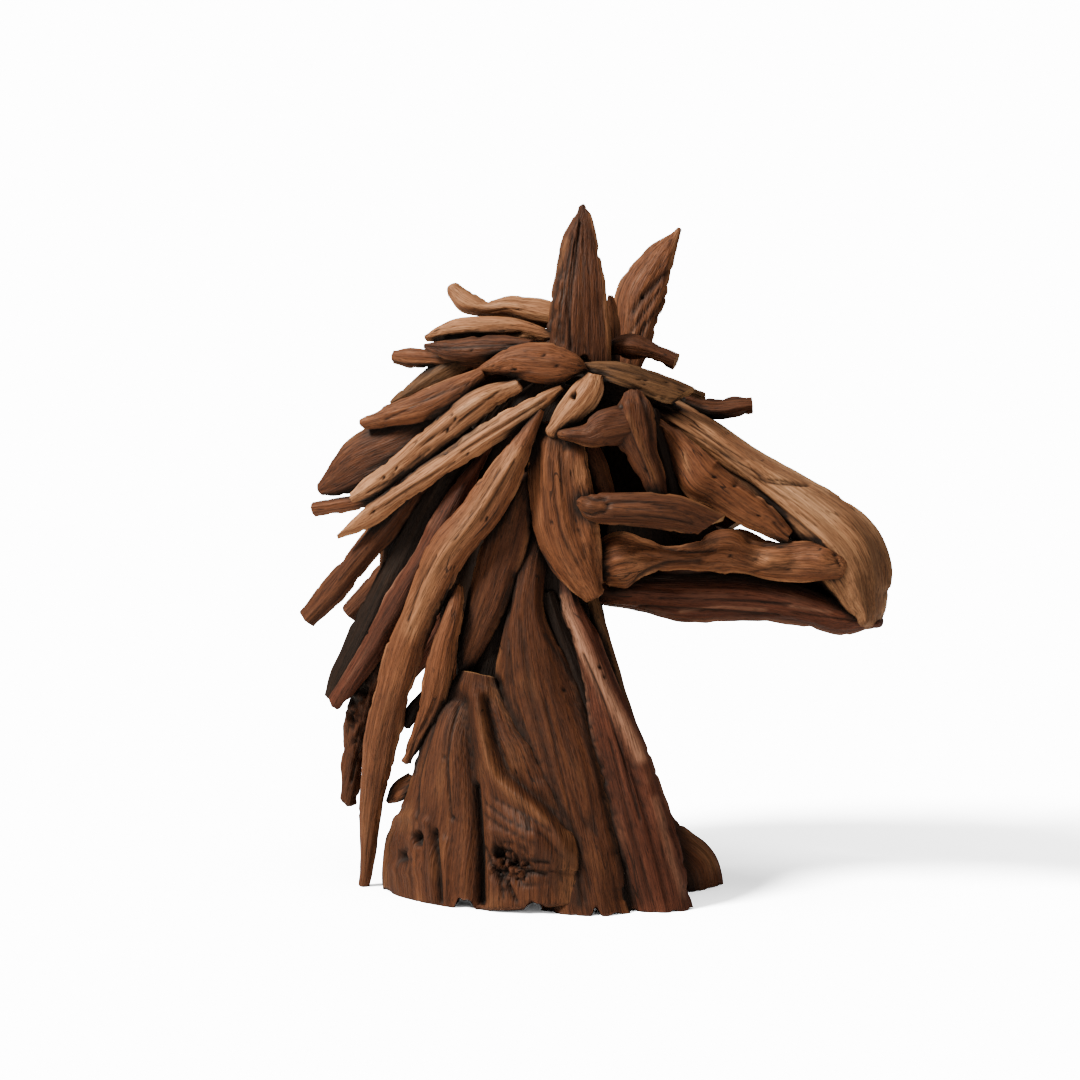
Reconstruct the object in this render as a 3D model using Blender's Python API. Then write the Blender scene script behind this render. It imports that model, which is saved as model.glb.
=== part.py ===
"""Horse head sculpture built from pieces of driftwood, as a Blender script in metres with +Z up.

The horse looks along +X and the side that the drawing shows faces -Y. Every piece of wood is a loft: a
section carried along a smooth path. The paths are read off a side drawing, in millimetres to the right
of its left edge, down from its top edge, and out from the horse's middle plane towards the viewer. A
piece keeps its own form where it lies on another, and the piece under it is cut away to seat it.
"""

import math
from dataclasses import dataclass, replace

import bmesh
import bpy
import numpy as np
from mathutils import Matrix

HEIGHT = 0.66  # ground to the tip of the near ear
SEAT_GAP = 0.0003  # air left where one piece is seated against another
DRAWN_HEIGHT = 660.0  # the same height on the drawing, in its millimetres
DRAWN_EYE = (540.0, 540.0)  # where the drawing's level sight line meets it, right and down
DRAWN_GROUND = 879.0  # where the ground under the middle plane is drawn, down
EYE_DISTANCE = 1600.0  # the drawing is a view from this far off
VIEW_TURN = math.radians(15.0)  # and from this far round towards the nose
MM = HEIGHT / DRAWN_HEIGHT

TAN = (0.45, 0.27, 0.135)
PALE = (0.55, 0.36, 0.19)
BROWN = (0.30, 0.165, 0.08)
RED = (0.33, 0.15, 0.07)
DARK = (0.12, 0.065, 0.035)
GREY = (0.27, 0.18, 0.12)


@dataclass
class Piece:
    """One length of wood. Its rows are right, down, out and width; depth is its greatest thickness."""

    name: str
    rows: list
    depth: float
    colour: tuple = BROWN
    face: tuple = (0.0, 1.0, 0.0)  # the way its broad face looks: forward, out and up
    square: float = 2.6  # 2 gives an oval section, more a squarer one
    ridge: float = 0.25  # how far the broad face falls away from its ridge
    ridge_at: float = 0.0  # where the ridge runs, -1 to 1 across the width
    wrap: float = 0.0  # how far the long edges curl back
    taper: float = 0.6  # 0 keeps the thickness where the width narrows
    spans: int = 1  # sections for each row
    sides: int = 8  # corners of a section
    node: str = ""  # lofts with the same node are joined into one solid
    mirrored: bool = False
    grounded: bool = False  # its foot is cut flat on the ground


def placed(right, down, out):
    """Follows the sight line through a point of the drawing to the plane that lies out from the middle."""
    eye_height = DRAWN_GROUND - DRAWN_EYE[1]
    eye = np.array([EYE_DISTANCE * math.sin(VIEW_TURN), -EYE_DISTANCE * math.cos(VIEW_TURN), eye_height])
    across = right - DRAWN_EYE[0]
    on_sheet = np.array([across * math.cos(VIEW_TURN), across * math.sin(VIEW_TURN), DRAWN_GROUND - down])
    reach = (-out - eye[1]) / (on_sheet[1] - eye[1])
    return eye + reach * (on_sheet - eye), reach


def stations(piece):
    """Centres, widths and depths of the sections, on a Catmull-Rom curve through the piece's rows."""
    widest = max(row[3] for row in piece.rows)
    knots = []
    for right, down, out, width in piece.rows:
        centre, reach = placed(right, down, out)
        knots.append([*centre, width * reach, piece.depth * (width / widest) ** piece.taper])
    knots = np.array(knots)
    padded = np.vstack([2 * knots[0] - knots[1], knots, 2 * knots[-1] - knots[-2]])
    curve = []
    for a, b, c, d in zip(padded, padded[1:], padded[2:], padded[3:]):
        for t in np.arange(piece.spans) / piece.spans:
            bend, twist = a - 2.5 * b + 2 * c - d / 2, 1.5 * (b - c) + (d - a) / 2
            curve.append(b + (c - a) * t / 2 + bend * t**2 + twist * t**3)
    curve.append(knots[-1])
    return np.array(curve)


def section(piece):
    """Corners of the unit section: a squared oval whose broad face falls away from a ridge."""
    angle = np.arange(piece.sides) * 2 * math.pi / piece.sides
    across = np.sign(np.cos(angle)) * np.abs(np.cos(angle)) ** (2 / piece.square)
    out = np.sign(np.sin(angle)) * np.abs(np.sin(angle)) ** (2 / piece.square)
    fall = 1 - piece.ridge * np.abs(across - piece.ridge_at) / (1 + abs(piece.ridge_at))
    return across, np.where(out > 0, out * fall, out)


def rings(piece, grow=0.0):
    """Corners of every section in metres, the piece made larger all round by grow."""
    rows = stations(piece)
    centre, width, depth = rows[:, :3], rows[:, 3], rows[:, 4]
    along = np.gradient(centre, axis=0)
    along /= np.linalg.norm(along, axis=1, keepdims=True)
    face = np.array([piece.face[0], -piece.face[1], piece.face[2]])
    side = np.cross(along, face)
    side /= np.linalg.norm(side, axis=1, keepdims=True)
    front = np.cross(side, along)
    across, out = section(piece)
    more = grow / MM
    curl = piece.wrap * (width / width.max())[:, None] * across**2
    points = (
        centre[:, None]
        + side[:, None] * (across * (width[:, None] / 2 + more))[..., None]
        + front[:, None] * (out * (depth[:, None] / 2 + more) - curl)[..., None]
    )
    points[0] -= along[0] * more
    points[-1] += along[-1] * more
    if piece.mirrored:
        points[..., 1] *= -1
    return points * MM


def loft(name, piece, grow=0.0):
    """A closed mesh over the piece's rings, skinned ring to ring and capped at both ends."""
    mesh = bmesh.new()
    ring_verts = [[mesh.verts.new(corner) for corner in ring] for ring in rings(piece, grow)]
    for lower, upper in zip(ring_verts, ring_verts[1:]):
        for k in range(piece.sides):
            after = (k + 1) % piece.sides
            mesh.faces.new((lower[k], lower[after], upper[after]))
            mesh.faces.new((lower[k], upper[after], upper[k]))
    mesh.faces.new(ring_verts[0])
    mesh.faces.new(ring_verts[-1])
    if piece.grounded:
        whole = mesh.verts[:] + mesh.edges[:] + mesh.faces[:]
        cut = bmesh.ops.bisect_plane(
            mesh, geom=whole, plane_co=(0, 0, -grow), plane_no=(0, 0, 1), clear_inner=True
        )
        rim = [item for item in cut["geom_cut"] if isinstance(item, bmesh.types.BMEdge)]
        bmesh.ops.contextual_create(mesh, geom=rim)
    bmesh.ops.recalc_face_normals(mesh, faces=mesh.faces[:])
    data = bpy.data.meshes.new(name)
    mesh.to_mesh(data)
    mesh.free()
    return data


def far_copy(piece, name, node="", keep=None, wider=1.0, further=0.0, **changes):
    """The far side's copy of a near piece, made plainer by fewer sections and corners."""
    rows = [(right, down, out + further, width * wider) for right, down, out, width in piece.rows[:keep]]
    return replace(piece, name=name, rows=rows, node=node, spans=1, sides=6, mirrored=True, **changes)


def face_pieces():
    """The near side of the face, from the outermost piece inwards."""
    return [
        Piece(
            "cheekbone",
            [(582, 503, 92, 12), (597, 508, 97, 29), (645, 510, 94, 35), (680, 514, 87, 36),
             (710, 524, 80, 28)],
            22, BROWN, ridge=0.3, spans=2,
        ),
        Piece(
            "brow_arm",
            [(561, 434, 92, 6), (576, 435, 94, 15), (590, 435, 94, 25), (604, 428, 92, 37),
             (626, 424, 87, 40)],
            22, TAN, node="brow_fork", spans=2,
        ),
        Piece(
            "brow_leg",
            [(632, 396, 80, 24), (633, 412, 85, 41), (635, 430, 85, 43), (643, 454, 83, 31),
             (651, 473, 80, 25), (659, 498, 77, 20)],
            26, TAN, node="brow_fork", ridge=0.4, ridge_at=0.3,
        ),
        Piece(
            "muzzle_side",
            [(656, 421, 57, 7), (668, 432, 61, 16), (681, 449, 64, 28), (691, 464, 65, 39),
             (702, 479, 65, 48), (717, 488, 62, 41), (747, 509, 56, 36), (770, 523, 52, 29),
             (789, 537, 49, 18)],
            20, TAN, ridge=0.2,
        ),
        Piece(
            "cheek_top",
            [(594, 378, 78, 17), (587, 392, 84, 31), (571, 411, 86, 27), (553, 431, 86, 18)],
            20, PALE, spans=2,
        ),
        Piece(
            "cheek_plate",
            [(556, 432, 78, 37), (555, 466, 80, 58), (559, 500, 80, 65), (566, 534, 79, 66),
             (579, 566, 76, 50), (594, 594, 72, 24)],
            24, TAN, ridge=0.35, ridge_at=0.2,
        ),
        Piece(
            "upper_jaw",
            [(602, 567, 56, 44), (622, 560, 58, 56), (645, 558, 56, 38), (668, 559, 52, 25),
             (700, 556, 49, 32), (725, 551, 47, 46), (750, 557, 47, 35), (776, 562, 48, 38),
             (808, 562, 48, 43), (837, 566, 48, 27)],
            34, TAN,
        ),
        Piece(
            "eye_post",
            [(584, 438, 58, 20), (594, 466, 60, 28), (604, 502, 62, 26)],
            16, DARK,
        ),
        Piece(
            "brow_back",
            [(652, 412, 58, 18), (663, 452, 60, 24), (674, 500, 60, 22)],
            16, GREY,
        ),
    ]


def poll_pieces():
    """Ears, forelock and the pieces that stand up off the crest."""
    return [
        Piece(
            "ear_near",
            [(576, 358, 46, 73), (578, 300, 48, 59), (579, 250, 44, 41), (582, 226, 42, 27),
             (583, 208, 41, 10)],
            32, BROWN, ridge=0.7, ridge_at=-0.35, spans=2,
        ),
        Piece(
            "ear_far",
            [(627, 372, -40, 26), (634, 340, -42, 38), (640, 297, -46, 54), (657, 264, -50, 35),
             (671, 243, -52, 18), (679, 230, -53, 5)],
            24, TAN, ridge=0.6, ridge_at=0.3,
        ),
        Piece(
            "poll_lozenge",
            [(479, 371, 76, 9), (515, 362, 81, 34), (550, 364, 83, 44), (574, 366, 80, 28),
             (587, 370, 74, 6)],
            24, TAN, ridge=0.3, spans=2,
        ),
        Piece(
            "forelock_slab",
            [(586, 369, 70, 14), (603, 370, 68, 23), (622, 374, 66, 31), (650, 384, 58, 34),
             (670, 391, 50, 34), (683, 396, 44, 30)],
            14, GREY, face=(0, 1, 0.7), square=3.2, taper=0.3,
        ),
        Piece(
            "poll_knob",
            [(611, 349, 20, 13), (622, 346, 24, 22), (636, 347, 25, 26), (652, 352, 24, 20),
             (675, 361, 22, 17)],
            32, BROWN,
        ),
        Piece(
            "forelock_stub",
            [(684, 401, 0, 14), (712, 409, -4, 23), (738, 407, -6, 21), (753, 407, -8, 14)],
            26, GREY, square=3.2,
        ),
        Piece(
            "ear_wedge",
            [(614, 352, -4, 15), (612, 325, -2, 14), (610, 296, 0, 6)],
            24, TAN,
        ),
        Piece(
            "crest_curl",
            [(556, 317, 16, 28), (535, 312, 18, 28), (510, 307, 20, 22), (487, 309, 22, 17),
             (467, 302, 22, 23), (454, 291, 22, 17)],
            28, PALE, ridge=0.4, spans=2,
        ),
        Piece(
            "crest_slab",
            [(556, 338, 44, 10), (520, 329, 46, 15), (490, 327, 48, 19), (464, 329, 48, 25),
             (445, 333, 48, 17), (427, 338, 48, 7)],
            28, PALE, face=(0, 1, 0.5), ridge=0.5, ridge_at=0.2,
        ),
        Piece(
            "crest_splinter",
            [(530, 342, 70, 8), (485, 349, 66, 22), (455, 350, 62, 16), (425, 346, 58, 5)],
            20, BROWN,
        ),
        Piece(
            "crest_stub",
            [(490, 362, 40, 20), (440, 359, 38, 20), (414, 358, 36, 22), (395, 356, 34, 15)],
            22, TAN, square=3.4,
        ),
    ]


def mane_pieces():
    """The mane's splinters on the near side, the outer layer first."""
    return [
        Piece(
            "mane_strand_long",
            [(541, 411, 88, 7), (509, 468, 95, 34), (482, 512, 97, 42), (446, 556, 97, 46),
             (424, 602, 94, 40), (402, 660, 90, 40), (382, 735, 84, 36), (372, 800, 80, 24),
             (364, 884, 76, 13)],
            26, TAN, ridge=0.55, ridge_at=-0.2,
        ),
        Piece(
            "mane_strand_shoulder",
            [(459, 588, 88, 12), (454, 610, 93, 22), (444, 645, 96, 28), (437, 680, 96, 30),
             (429, 712, 93, 24), (407, 760, 90, 9)],
            20, TAN, square=2.2,
        ),
        Piece(
            "mane_strand_4",
            [(562, 388, 82, 10), (520, 415, 88, 23), (480, 441, 89, 25), (440, 467, 87, 25),
             (400, 494, 84, 23), (366, 518, 80, 20), (338, 536, 78, 8)],
            20, PALE, ridge=0.5,
        ),
        Piece(
            "mane_strand_3",
            [(517, 385, 80, 12), (480, 402, 86, 29), (440, 433, 86, 31), (400, 465, 83, 26),
             (372, 486, 80, 20), (353, 498, 78, 9)],
            20, PALE, ridge=0.5, ridge_at=0.2,
        ),
        Piece(
            "mane_strand_1",
            [(482, 374, 78, 12), (455, 391, 84, 28), (425, 405, 84, 30), (392, 415, 80, 24),
             (363, 423, 76, 11)],
            20, BROWN, ridge=0.45,
        ),
        Piece(
            "mane_strand_7",
            [(490, 446, 66, 8), (462, 490, 72, 22), (432, 545, 73, 27), (400, 600, 71, 29),
             (368, 655, 66, 27), (335, 703, 62, 16)],
            22, RED, ridge=0.6, ridge_at=-0.3,
        ),
        Piece(
            "mane_strand_13",
            [(529, 476, 70, 16), (513, 514, 76, 42), (503, 548, 78, 46), (487, 600, 80, 42),
             (472, 642, 80, 30), (461, 677, 80, 12)],
            22, BROWN,
        ),
        Piece(
            "mane_strand_2",
            [(478, 404, 64, 24), (440, 424, 66, 42), (402, 444, 66, 58), (364, 462, 64, 56),
             (337, 480, 62, 34), (321, 489, 60, 14)],
            20, RED, ridge=0.35,
        ),
        Piece(
            "mane_stick",
            [(440, 452, 62, 20), (400, 508, 62, 27), (368, 548, 60, 28), (338, 585, 58, 27),
             (308, 618, 56, 22)],
            24, BROWN, square=2.3,
        ),
        Piece(
            "mane_stub",
            [(410, 490, 66, 12), (350, 503, 62, 16), (315, 509, 60, 17)],
            16, TAN, square=3.2,
        ),
        Piece(
            "mane_slab_dark",
            [(470, 430, 52, 24), (428, 508, 54, 36), (402, 560, 54, 36), (374, 620, 52, 38),
             (346, 673, 50, 32), (334, 698, 48, 18)],
            20, DARK, ridge=0.4,
        ),
        Piece(
            "mane_nape",
            [(486, 352, 36, 28), (448, 371, 36, 30), (420, 387, 34, 23), (392, 403, 32, 8)],
            22, GREY,
        ),
        Piece(
            "mane_gnarled",
            [(420, 600, 40, 26), (395, 645, 44, 34), (372, 690, 46, 36), (357, 740, 44, 30),
             (347, 800, 42, 20)],
            24, BROWN,
        ),
    ]


def neck_pieces():
    """The slabs that stand round the neck, each lapping over the next."""
    return [
        Piece(
            "shoulder_root",
            [(476, 676, 86, 44), (472, 707, 93, 82), (470, 736, 99, 111), (467, 765, 105, 146),
             (468, 800, 112, 181), (467, 836, 118, 224), (464, 868, 124, 233), (465, 905, 130, 231)],
            30, BROWN, face=(-0.3, 1, 0.25), square=3.2, ridge=0.35, ridge_at=-0.1, wrap=22, taper=0.15,
            grounded=True,
        ),
        Piece(
            "neck_slab_main",
            [(548, 510, 56, 22), (532, 556, 66, 34), (525, 606, 78, 37), (527, 645, 84, 62),
             (535, 690, 88, 86), (558, 780, 104, 96), (588, 925, 132, 92)],
            28, BROWN, face=(0.1, 1, 0.25), square=3, ridge=0.3, wrap=5, taper=0.15, grounded=True,
        ),
        Piece(
            "neck_front",
            [(562, 560, 54, 16), (572, 605, 61, 20), (590, 650, 68, 28), (618, 745, 80, 52),
             (643, 830, 92, 64), (664, 922, 100, 64)],
            28, RED, face=(0.45, 1, 0.2), ridge=0.5, ridge_at=-0.2, taper=0.15, grounded=True,
        ),
        Piece(
            "neck_edge",
            [(592, 600, 42, 14), (616, 688, 48, 20), (640, 765, 54, 22), (668, 845, 62, 16)],
            24, GREY, face=(0.9, 1, 0.2),
        ),
        Piece(
            "neck_strip",
            [(548, 596, 62, 22), (570, 660, 68, 30), (590, 720, 74, 32), (608, 800, 86, 34),
             (626, 920, 108, 34)],
            22, DARK, face=(0.3, 1, 0.2), grounded=True,
        ),
        Piece(
            "neck_stub",
            [(502, 588, 64, 20), (493, 640, 66, 28), (482, 692, 74, 36)],
            20, DARK,
        ),
    ]


def middle_pieces():
    """What lies on the middle plane: nose, lower jaw and the wood inside the mouth."""
    return [
        Piece(
            "nose_bridge",
            [(636, 396, 0, 30), (690, 431, 0, 44), (745, 469, 0, 48), (772, 490, 0, 57), (800, 512, 0, 68),
             (838, 547, 0, 82), (855, 575, 0, 74), (862, 597, 0, 54), (867, 610, 0, 36), (868, 617, 0, 26)],
            106, TAN, square=3, ridge=0.12, taper=0.12,
        ),
        Piece(
            "lower_jaw",
            [(586, 588, 0, 26), (614, 591, 0, 32), (645, 590, 0, 44), (690, 593, 0, 58), (745, 593, 0, 54),
             (800, 602, 0, 48), (842, 615, 0, 40), (877, 622, 0, 13)],
            84, RED, square=3, ridge=0.15, taper=0.3,
        ),
    ]


def inner_pieces():
    """The long pieces under the mane that the strands are fixed to, dark in the gaps between them."""
    neck_side = Piece(
        "neck_side",
        [(560, 392, 54, 60), (532, 450, 54, 104), (516, 530, 54, 124), (516, 622, 56, 112)],
        26, DARK, square=4, taper=0, ridge=0, sides=6,
    )
    return [
        Piece(
            "crest_strand_near",
            [(520, 352, 20, 40), (452, 400, 22, 46), (416, 480, 22, 48), (402, 570, 22, 46),
             (398, 660, 22, 28)],
            50, BROWN, ridge=0.3, node="crest_strands",
        ),
        Piece(
            "crest_strand_far",
            [(530, 356, -24, 40), (462, 404, -26, 46), (424, 490, -26, 48), (412, 580, -26, 42),
             (408, 640, -26, 20)],
            50, BROWN, ridge=0.3, node="crest_strands",
        ),
        Piece(
            "poll_block",
            [(676, 412, 0, 24), (640, 395, 0, 44), (590, 386, 0, 58), (540, 388, 0, 66)],
            132, DARK, square=3, taper=0.2, ridge=0, node="poll_block",
        ),
        Piece(
            "crest_block",
            [(556, 372, 0, 50), (515, 396, 0, 70), (484, 450, 0, 80), (470, 530, 0, 70),
             (468, 620, 0, 60)],
            80, DARK, square=4, taper=0, ridge=0, sides=6, node="poll_block",
        ),
        neck_side,
        Piece(
            "throat_slab",
            [(578, 560, 0, 60), (603, 680, 0, 76), (629, 765, 0, 96), (656, 900, 0, 120)],
            24, DARK, face=(1, 0.1, 0.2), square=4, taper=0, ridge=0, sides=6, grounded=True,
        ),
        Piece(
            "back_slab",
            [(484, 600, 0, 90), (470, 706, 0, 110), (440, 800, 0, 130), (412, 920, 0, 150)],
            24, BROWN, face=(-1, 0.1, 0.2), square=4, taper=0, ridge=0, sides=6, grounded=True,
        ),
        far_copy(neck_side, "neck_side_far"),
    ]


def far_pieces(near):
    """The side away from the drawing, in keeping with the near side and plainer."""
    return [
        Piece(
            "brow_slab_far",
            [(590, 396, 62, 60), (600, 430, 66, 100), (616, 480, 66, 120), (634, 530, 60, 106),
             (640, 566, 56, 70)],
            20, BROWN, sides=6, mirrored=True,
        ),
        far_copy(near["cheek_plate"], "cheek_plate_far", wider=1.25),
        far_copy(near["cheekbone"], "cheekbone_far"),
        far_copy(near["muzzle_side"], "muzzle_side_far"),
        far_copy(near["upper_jaw"], "upper_jaw_far"),
        far_copy(near["poll_lozenge"], "poll_lozenge_far", colour=BROWN),
        far_copy(near["forelock_slab"], "forelock_slab_far"),
        far_copy(near["mane_strand_4"], "mane_far_4", "mane_far_upper", wider=1.4, colour=BROWN),
        far_copy(near["mane_strand_3"], "mane_far_3", "mane_far_upper", wider=1.4, further=-5),
        far_copy(near["mane_strand_1"], "mane_far_1", "mane_far_upper", wider=1.4, further=-3),
        far_copy(near["mane_strand_2"], "mane_far_2", "mane_far_upper", further=8),
        far_copy(near["mane_strand_long"], "mane_far_long", "mane_far_lower", keep=7),
        far_copy(near["mane_strand_7"], "mane_far_7", "mane_far_lower", wider=1.5, further=12),
        far_copy(near["mane_strand_13"], "mane_far_13", "mane_far_lower", wider=1.3, further=8),
        far_copy(near["mane_stick"], "mane_far_stick"),
        far_copy(near["shoulder_root"], "shoulder_root_far"),
        far_copy(near["neck_slab_main"], "neck_slab_far", wider=0.9),
        Piece(
            "chest_flare",
            [(588, 600, -24, 26), (604, 690, -24, 36), (622, 757, -16, 42), (637, 790, -8, 46),
             (656, 829, -4, 50), (676, 849, -4, 54), (691, 862, -4, 56), (698, 873, -4, 56), (702, 900, -4, 54)],
            24, BROWN, face=(0.8, 0.45, 0.5), wrap=-6, taper=0.15, grounded=True,
        ),
        Piece(
            "neck_front_far",
            [(544, 600, 50, 30), (562, 690, 62, 54), (580, 790, 86, 66), (598, 925, 114, 66)],
            26, BROWN, face=(0.45, 1, 0.2), taper=0.15, sides=6, mirrored=True, grounded=True,
        ),
    ]


def wood(name, colour):
    finish = bpy.data.materials.new(name + "_wood")
    finish.use_nodes = True
    shader = finish.node_tree.nodes["Principled BSDF"]
    shader.inputs["Base Color"].default_value = (*colour, 1)
    shader.inputs["Roughness"].default_value = 0.7
    shader.inputs["Metallic"].default_value = 0.0
    return finish


def add_object(name, data, collection):
    obj = bpy.data.objects.new(name, data)
    collection.objects.link(obj)
    return obj


def boxes_meet(a, b):
    return bool(np.all(a.min(0) < b.max(0)) and np.all(b.min(0) < a.max(0)))


def booleaned(obj, others, operation):
    """Joins each of the others to the object's mesh, or cuts each of them from it."""
    for other in others:
        step = obj.modifiers.new(operation.lower(), "BOOLEAN")
        step.operation = operation
        step.solver = "EXACT"
        step.object = other
    bpy.context.view_layer.update()
    data = bpy.data.meshes.new_from_object(obj.evaluated_get(bpy.context.evaluated_depsgraph_get()))
    obj.modifiers.clear()
    obj.data = data


def keep_largest(obj):
    """Drops the offcuts that a seat leaves loose."""
    mesh = bmesh.new()
    mesh.from_mesh(obj.data)
    unseen, groups = set(mesh.verts), []
    while unseen:
        group, edge = set(), {unseen.pop()}
        while edge:
            group |= edge
            edge = {e.other_vert(v) for v in edge for e in v.link_edges} - group
        unseen -= group
        groups.append(group)
    groups.sort(key=len, reverse=True)
    bmesh.ops.delete(mesh, geom=[v for group in groups[1:] for v in group], context="VERTS")
    mesh.to_mesh(obj.data)
    mesh.free()
    return len(groups)


def centred(objects):
    """Moves the meshes together so that the middle of their box's underside is the origin."""
    points = np.array([v.co for obj in objects for v in obj.data.vertices])
    shift = -(points.min(0) + points.max(0)) / 2
    shift[2] = -points[:, 2].min()
    for obj in objects:
        obj.data.transform(Matrix.Translation(shift))
    return shift


def build():
    for old in list(bpy.data.objects):
        bpy.data.objects.remove(old)
    parts, cutters = (bpy.data.collections.new(name) for name in ("horse_head", "cutters"))
    for collection in (parts, cutters):
        bpy.context.scene.collection.children.link(collection)

    outer = face_pieces() + poll_pieces() + mane_pieces() + neck_pieces() + middle_pieces()
    nodes = {}
    for piece in outer + far_pieces({piece.name: piece for piece in outer}) + inner_pieces():
        nodes.setdefault(piece.node or piece.name, []).append(piece)
    laid = []
    for name, lofts in nodes.items():
        obj = add_object(name, loft(name, lofts[0]), parts)
        joined = [add_object(piece.name + "_join", loft(piece.name, piece), cutters) for piece in lofts[1:]]
        reach = np.vstack([rings(piece, SEAT_GAP).reshape(-1, 3) for piece in lofts])
        booleaned(obj, joined, "UNION")
        booleaned(obj, [cutter for cutter, points in laid if boxes_meet(points, reach)], "DIFFERENCE")
        if keep_largest(obj) > 1:
            print("offcuts dropped from", name)
        obj.data.materials.append(wood(name, lofts[0].colour))
        for piece in lofts:
            cutter = add_object(piece.name + "_seat", loft(piece.name, piece, SEAT_GAP), cutters)
            laid.append((cutter, rings(piece, SEAT_GAP).reshape(-1, 3)))
    for cutter in cutters.objects:
        cutter.hide_render = True
        cutter.display_type = "WIRE"
    return centred(parts.objects)


SHIFT = build()
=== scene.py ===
import math

import bpy
import numpy as np
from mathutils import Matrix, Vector


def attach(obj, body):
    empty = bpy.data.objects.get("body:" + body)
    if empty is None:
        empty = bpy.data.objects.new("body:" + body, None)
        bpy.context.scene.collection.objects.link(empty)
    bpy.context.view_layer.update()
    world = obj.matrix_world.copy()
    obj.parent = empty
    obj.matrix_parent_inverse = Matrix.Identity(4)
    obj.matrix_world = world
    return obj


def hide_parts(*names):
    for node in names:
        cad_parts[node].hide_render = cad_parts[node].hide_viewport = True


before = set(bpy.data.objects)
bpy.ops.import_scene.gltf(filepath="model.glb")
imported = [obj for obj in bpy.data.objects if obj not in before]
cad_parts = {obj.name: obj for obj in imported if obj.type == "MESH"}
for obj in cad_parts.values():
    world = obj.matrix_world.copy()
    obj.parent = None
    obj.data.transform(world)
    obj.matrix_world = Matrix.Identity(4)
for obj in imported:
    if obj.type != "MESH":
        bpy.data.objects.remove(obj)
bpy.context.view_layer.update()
print("frame loaded:", len(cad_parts), "solids")

# Places are read off a side drawing in millimetres: right, down, and out from the horse's middle plane
drawing = {
    "eyeDistance": 1600.0, "turn": math.radians(15.0), "middle": (540.0, 540.0), "ground": 879.0,
    "shift": (-0.0539316, -0.0011368, 0.0),  # metres, from the drawing's middle to the frame's origin
}
mesh = {
    "along": 3.2, "around": 1.35, "back": 2.2,  # millimetres between points
    "perRow": 24, "trial": 1441, "endRings": 10, "fewest": 24,
}

# What a piece of wood has where its own settings say nothing else
usual = {
    "face": (0, 1, 0),  # the way the broad face looks: forward, out and up
    "square": 2.6,  # 2 is an oval section, more is squarer
    "ridge": 0.25,
    "ridgeAt": 0.0,
    "curl": 0.0,
    "taper": 0.6,
    "ends": ("torn", "torn"),
    "lump": 1.0,  # slow swells, in millimetres
    "edge": 1.4,  # how far the outline wanders
    "furrow": 0.9,  # weathered furrows along the grain
    "furrowWide": 6.5,
    "fine": 0.32,
    "crack": 1.6,
    "crackMuch": 0.35,  # 0 none, 1 all over
    "roughMuch": 0.5,  # 0 worn smooth, 1 furrowed all over
    "fan": 0.5,  # 1 lets the grain spread with the width
    "flow": 2.0,  # how far the grain wanders sideways
    "split": 0.8,  # how deeply flat facets are split off its long corners
    "mirror": False,
    "grounded": False,
    "foot": 3.0,
    "notches": [],
    "mitre": (0, 0),  # how much further an end goes on the right of the path than in its middle
}
# Marks seen on the near side, at their places on the drawing
marks = {
    "holes": [],  # right, down, width, height, depth
    "ragged": [],  # a torn patch, in the same order
    "swells": [],  # right, down, length, width, turn in degrees, rise
    "grooves": [],  # width, depth, line; a depth under 0 is a ridge
    # painted shadow along a line, beside edges that stand proud, in the mouth and on faces turned from the
    # light
    "paintedShade": [],  # width, strength, line
    # painted highlight along a lit ridge or rim: width, strength, line
    "paintedHighlights": [],
}


sight = np.array([math.sin(drawing["turn"]), -math.cos(drawing["turn"]), 0.0])  # the way to the eye
rightwards = np.array([math.cos(drawing["turn"]), math.sin(drawing["turn"]), 0.0])
eye = sight * drawing["eyeDistance"]
eye[2] = drawing["ground"] - drawing["middle"][1]


# A place is where the sight line through a point of the drawing meets the plane so far out from the middle
def placed(right, down, out):
    onSheet = (right - drawing["middle"][0])[:, None] * rightwards
    onSheet[:, 2] = drawing["ground"] - down
    reach = (-out - eye[1]) / (onSheet[:, 1] - eye[1])
    return eye + reach[:, None] * (onSheet - eye), reach


# The way back: the sight line from the eye through a point, met with the drawing's sheet
def drawnAt(points):
    reach = drawing["eyeDistance"] / (drawing["eyeDistance"] - points @ sight)
    onSheet = eye + reach[..., None] * (points - eye)
    return drawing["middle"][0] + onSheet @ rightwards, drawing["ground"] - onSheet[..., 2]


# Value noise from -1 to 1: a hashed number at each whole-number corner, blended by a smooth step, or straight
# for creases
def noise(x, y, z, seed=0, creased=False):
    where = np.stack(np.broadcast_arrays(x, y, z), axis=-1) + 1000.0
    cell = np.floor(where).astype(np.int64)
    part = where - cell
    blend = part if creased else part * part * (3 - 2 * part)
    total = 0.0
    for corner in np.ndindex(2, 2, 2):
        a, b, c = (cell[..., k] + corner[k] for k in range(3))
        mixed = (a * 73856093) ^ (b * 19349663) ^ (c * 83492791) ^ (seed * 2654435761)
        mixed = (mixed ^ (mixed >> 13)) * 1274126177 & 0xFFFFFFFF
        mixed = (mixed ^ (mixed >> 15)) * 2246822519 & 0xFFFFFFFF
        value = ((mixed ^ (mixed >> 16)) & 0xFFFF) / 32767.5 - 1
        weight = 1.0
        for k in range(3):
            weight = weight * (blend[..., k] if corner[k] else 1 - blend[..., k])
        total = total + value * weight
    return total


def smooth(low, high, value):
    t = np.clip((value - low) / (high - low), 0, 1)
    return t * t * (3 - 2 * t)


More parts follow.
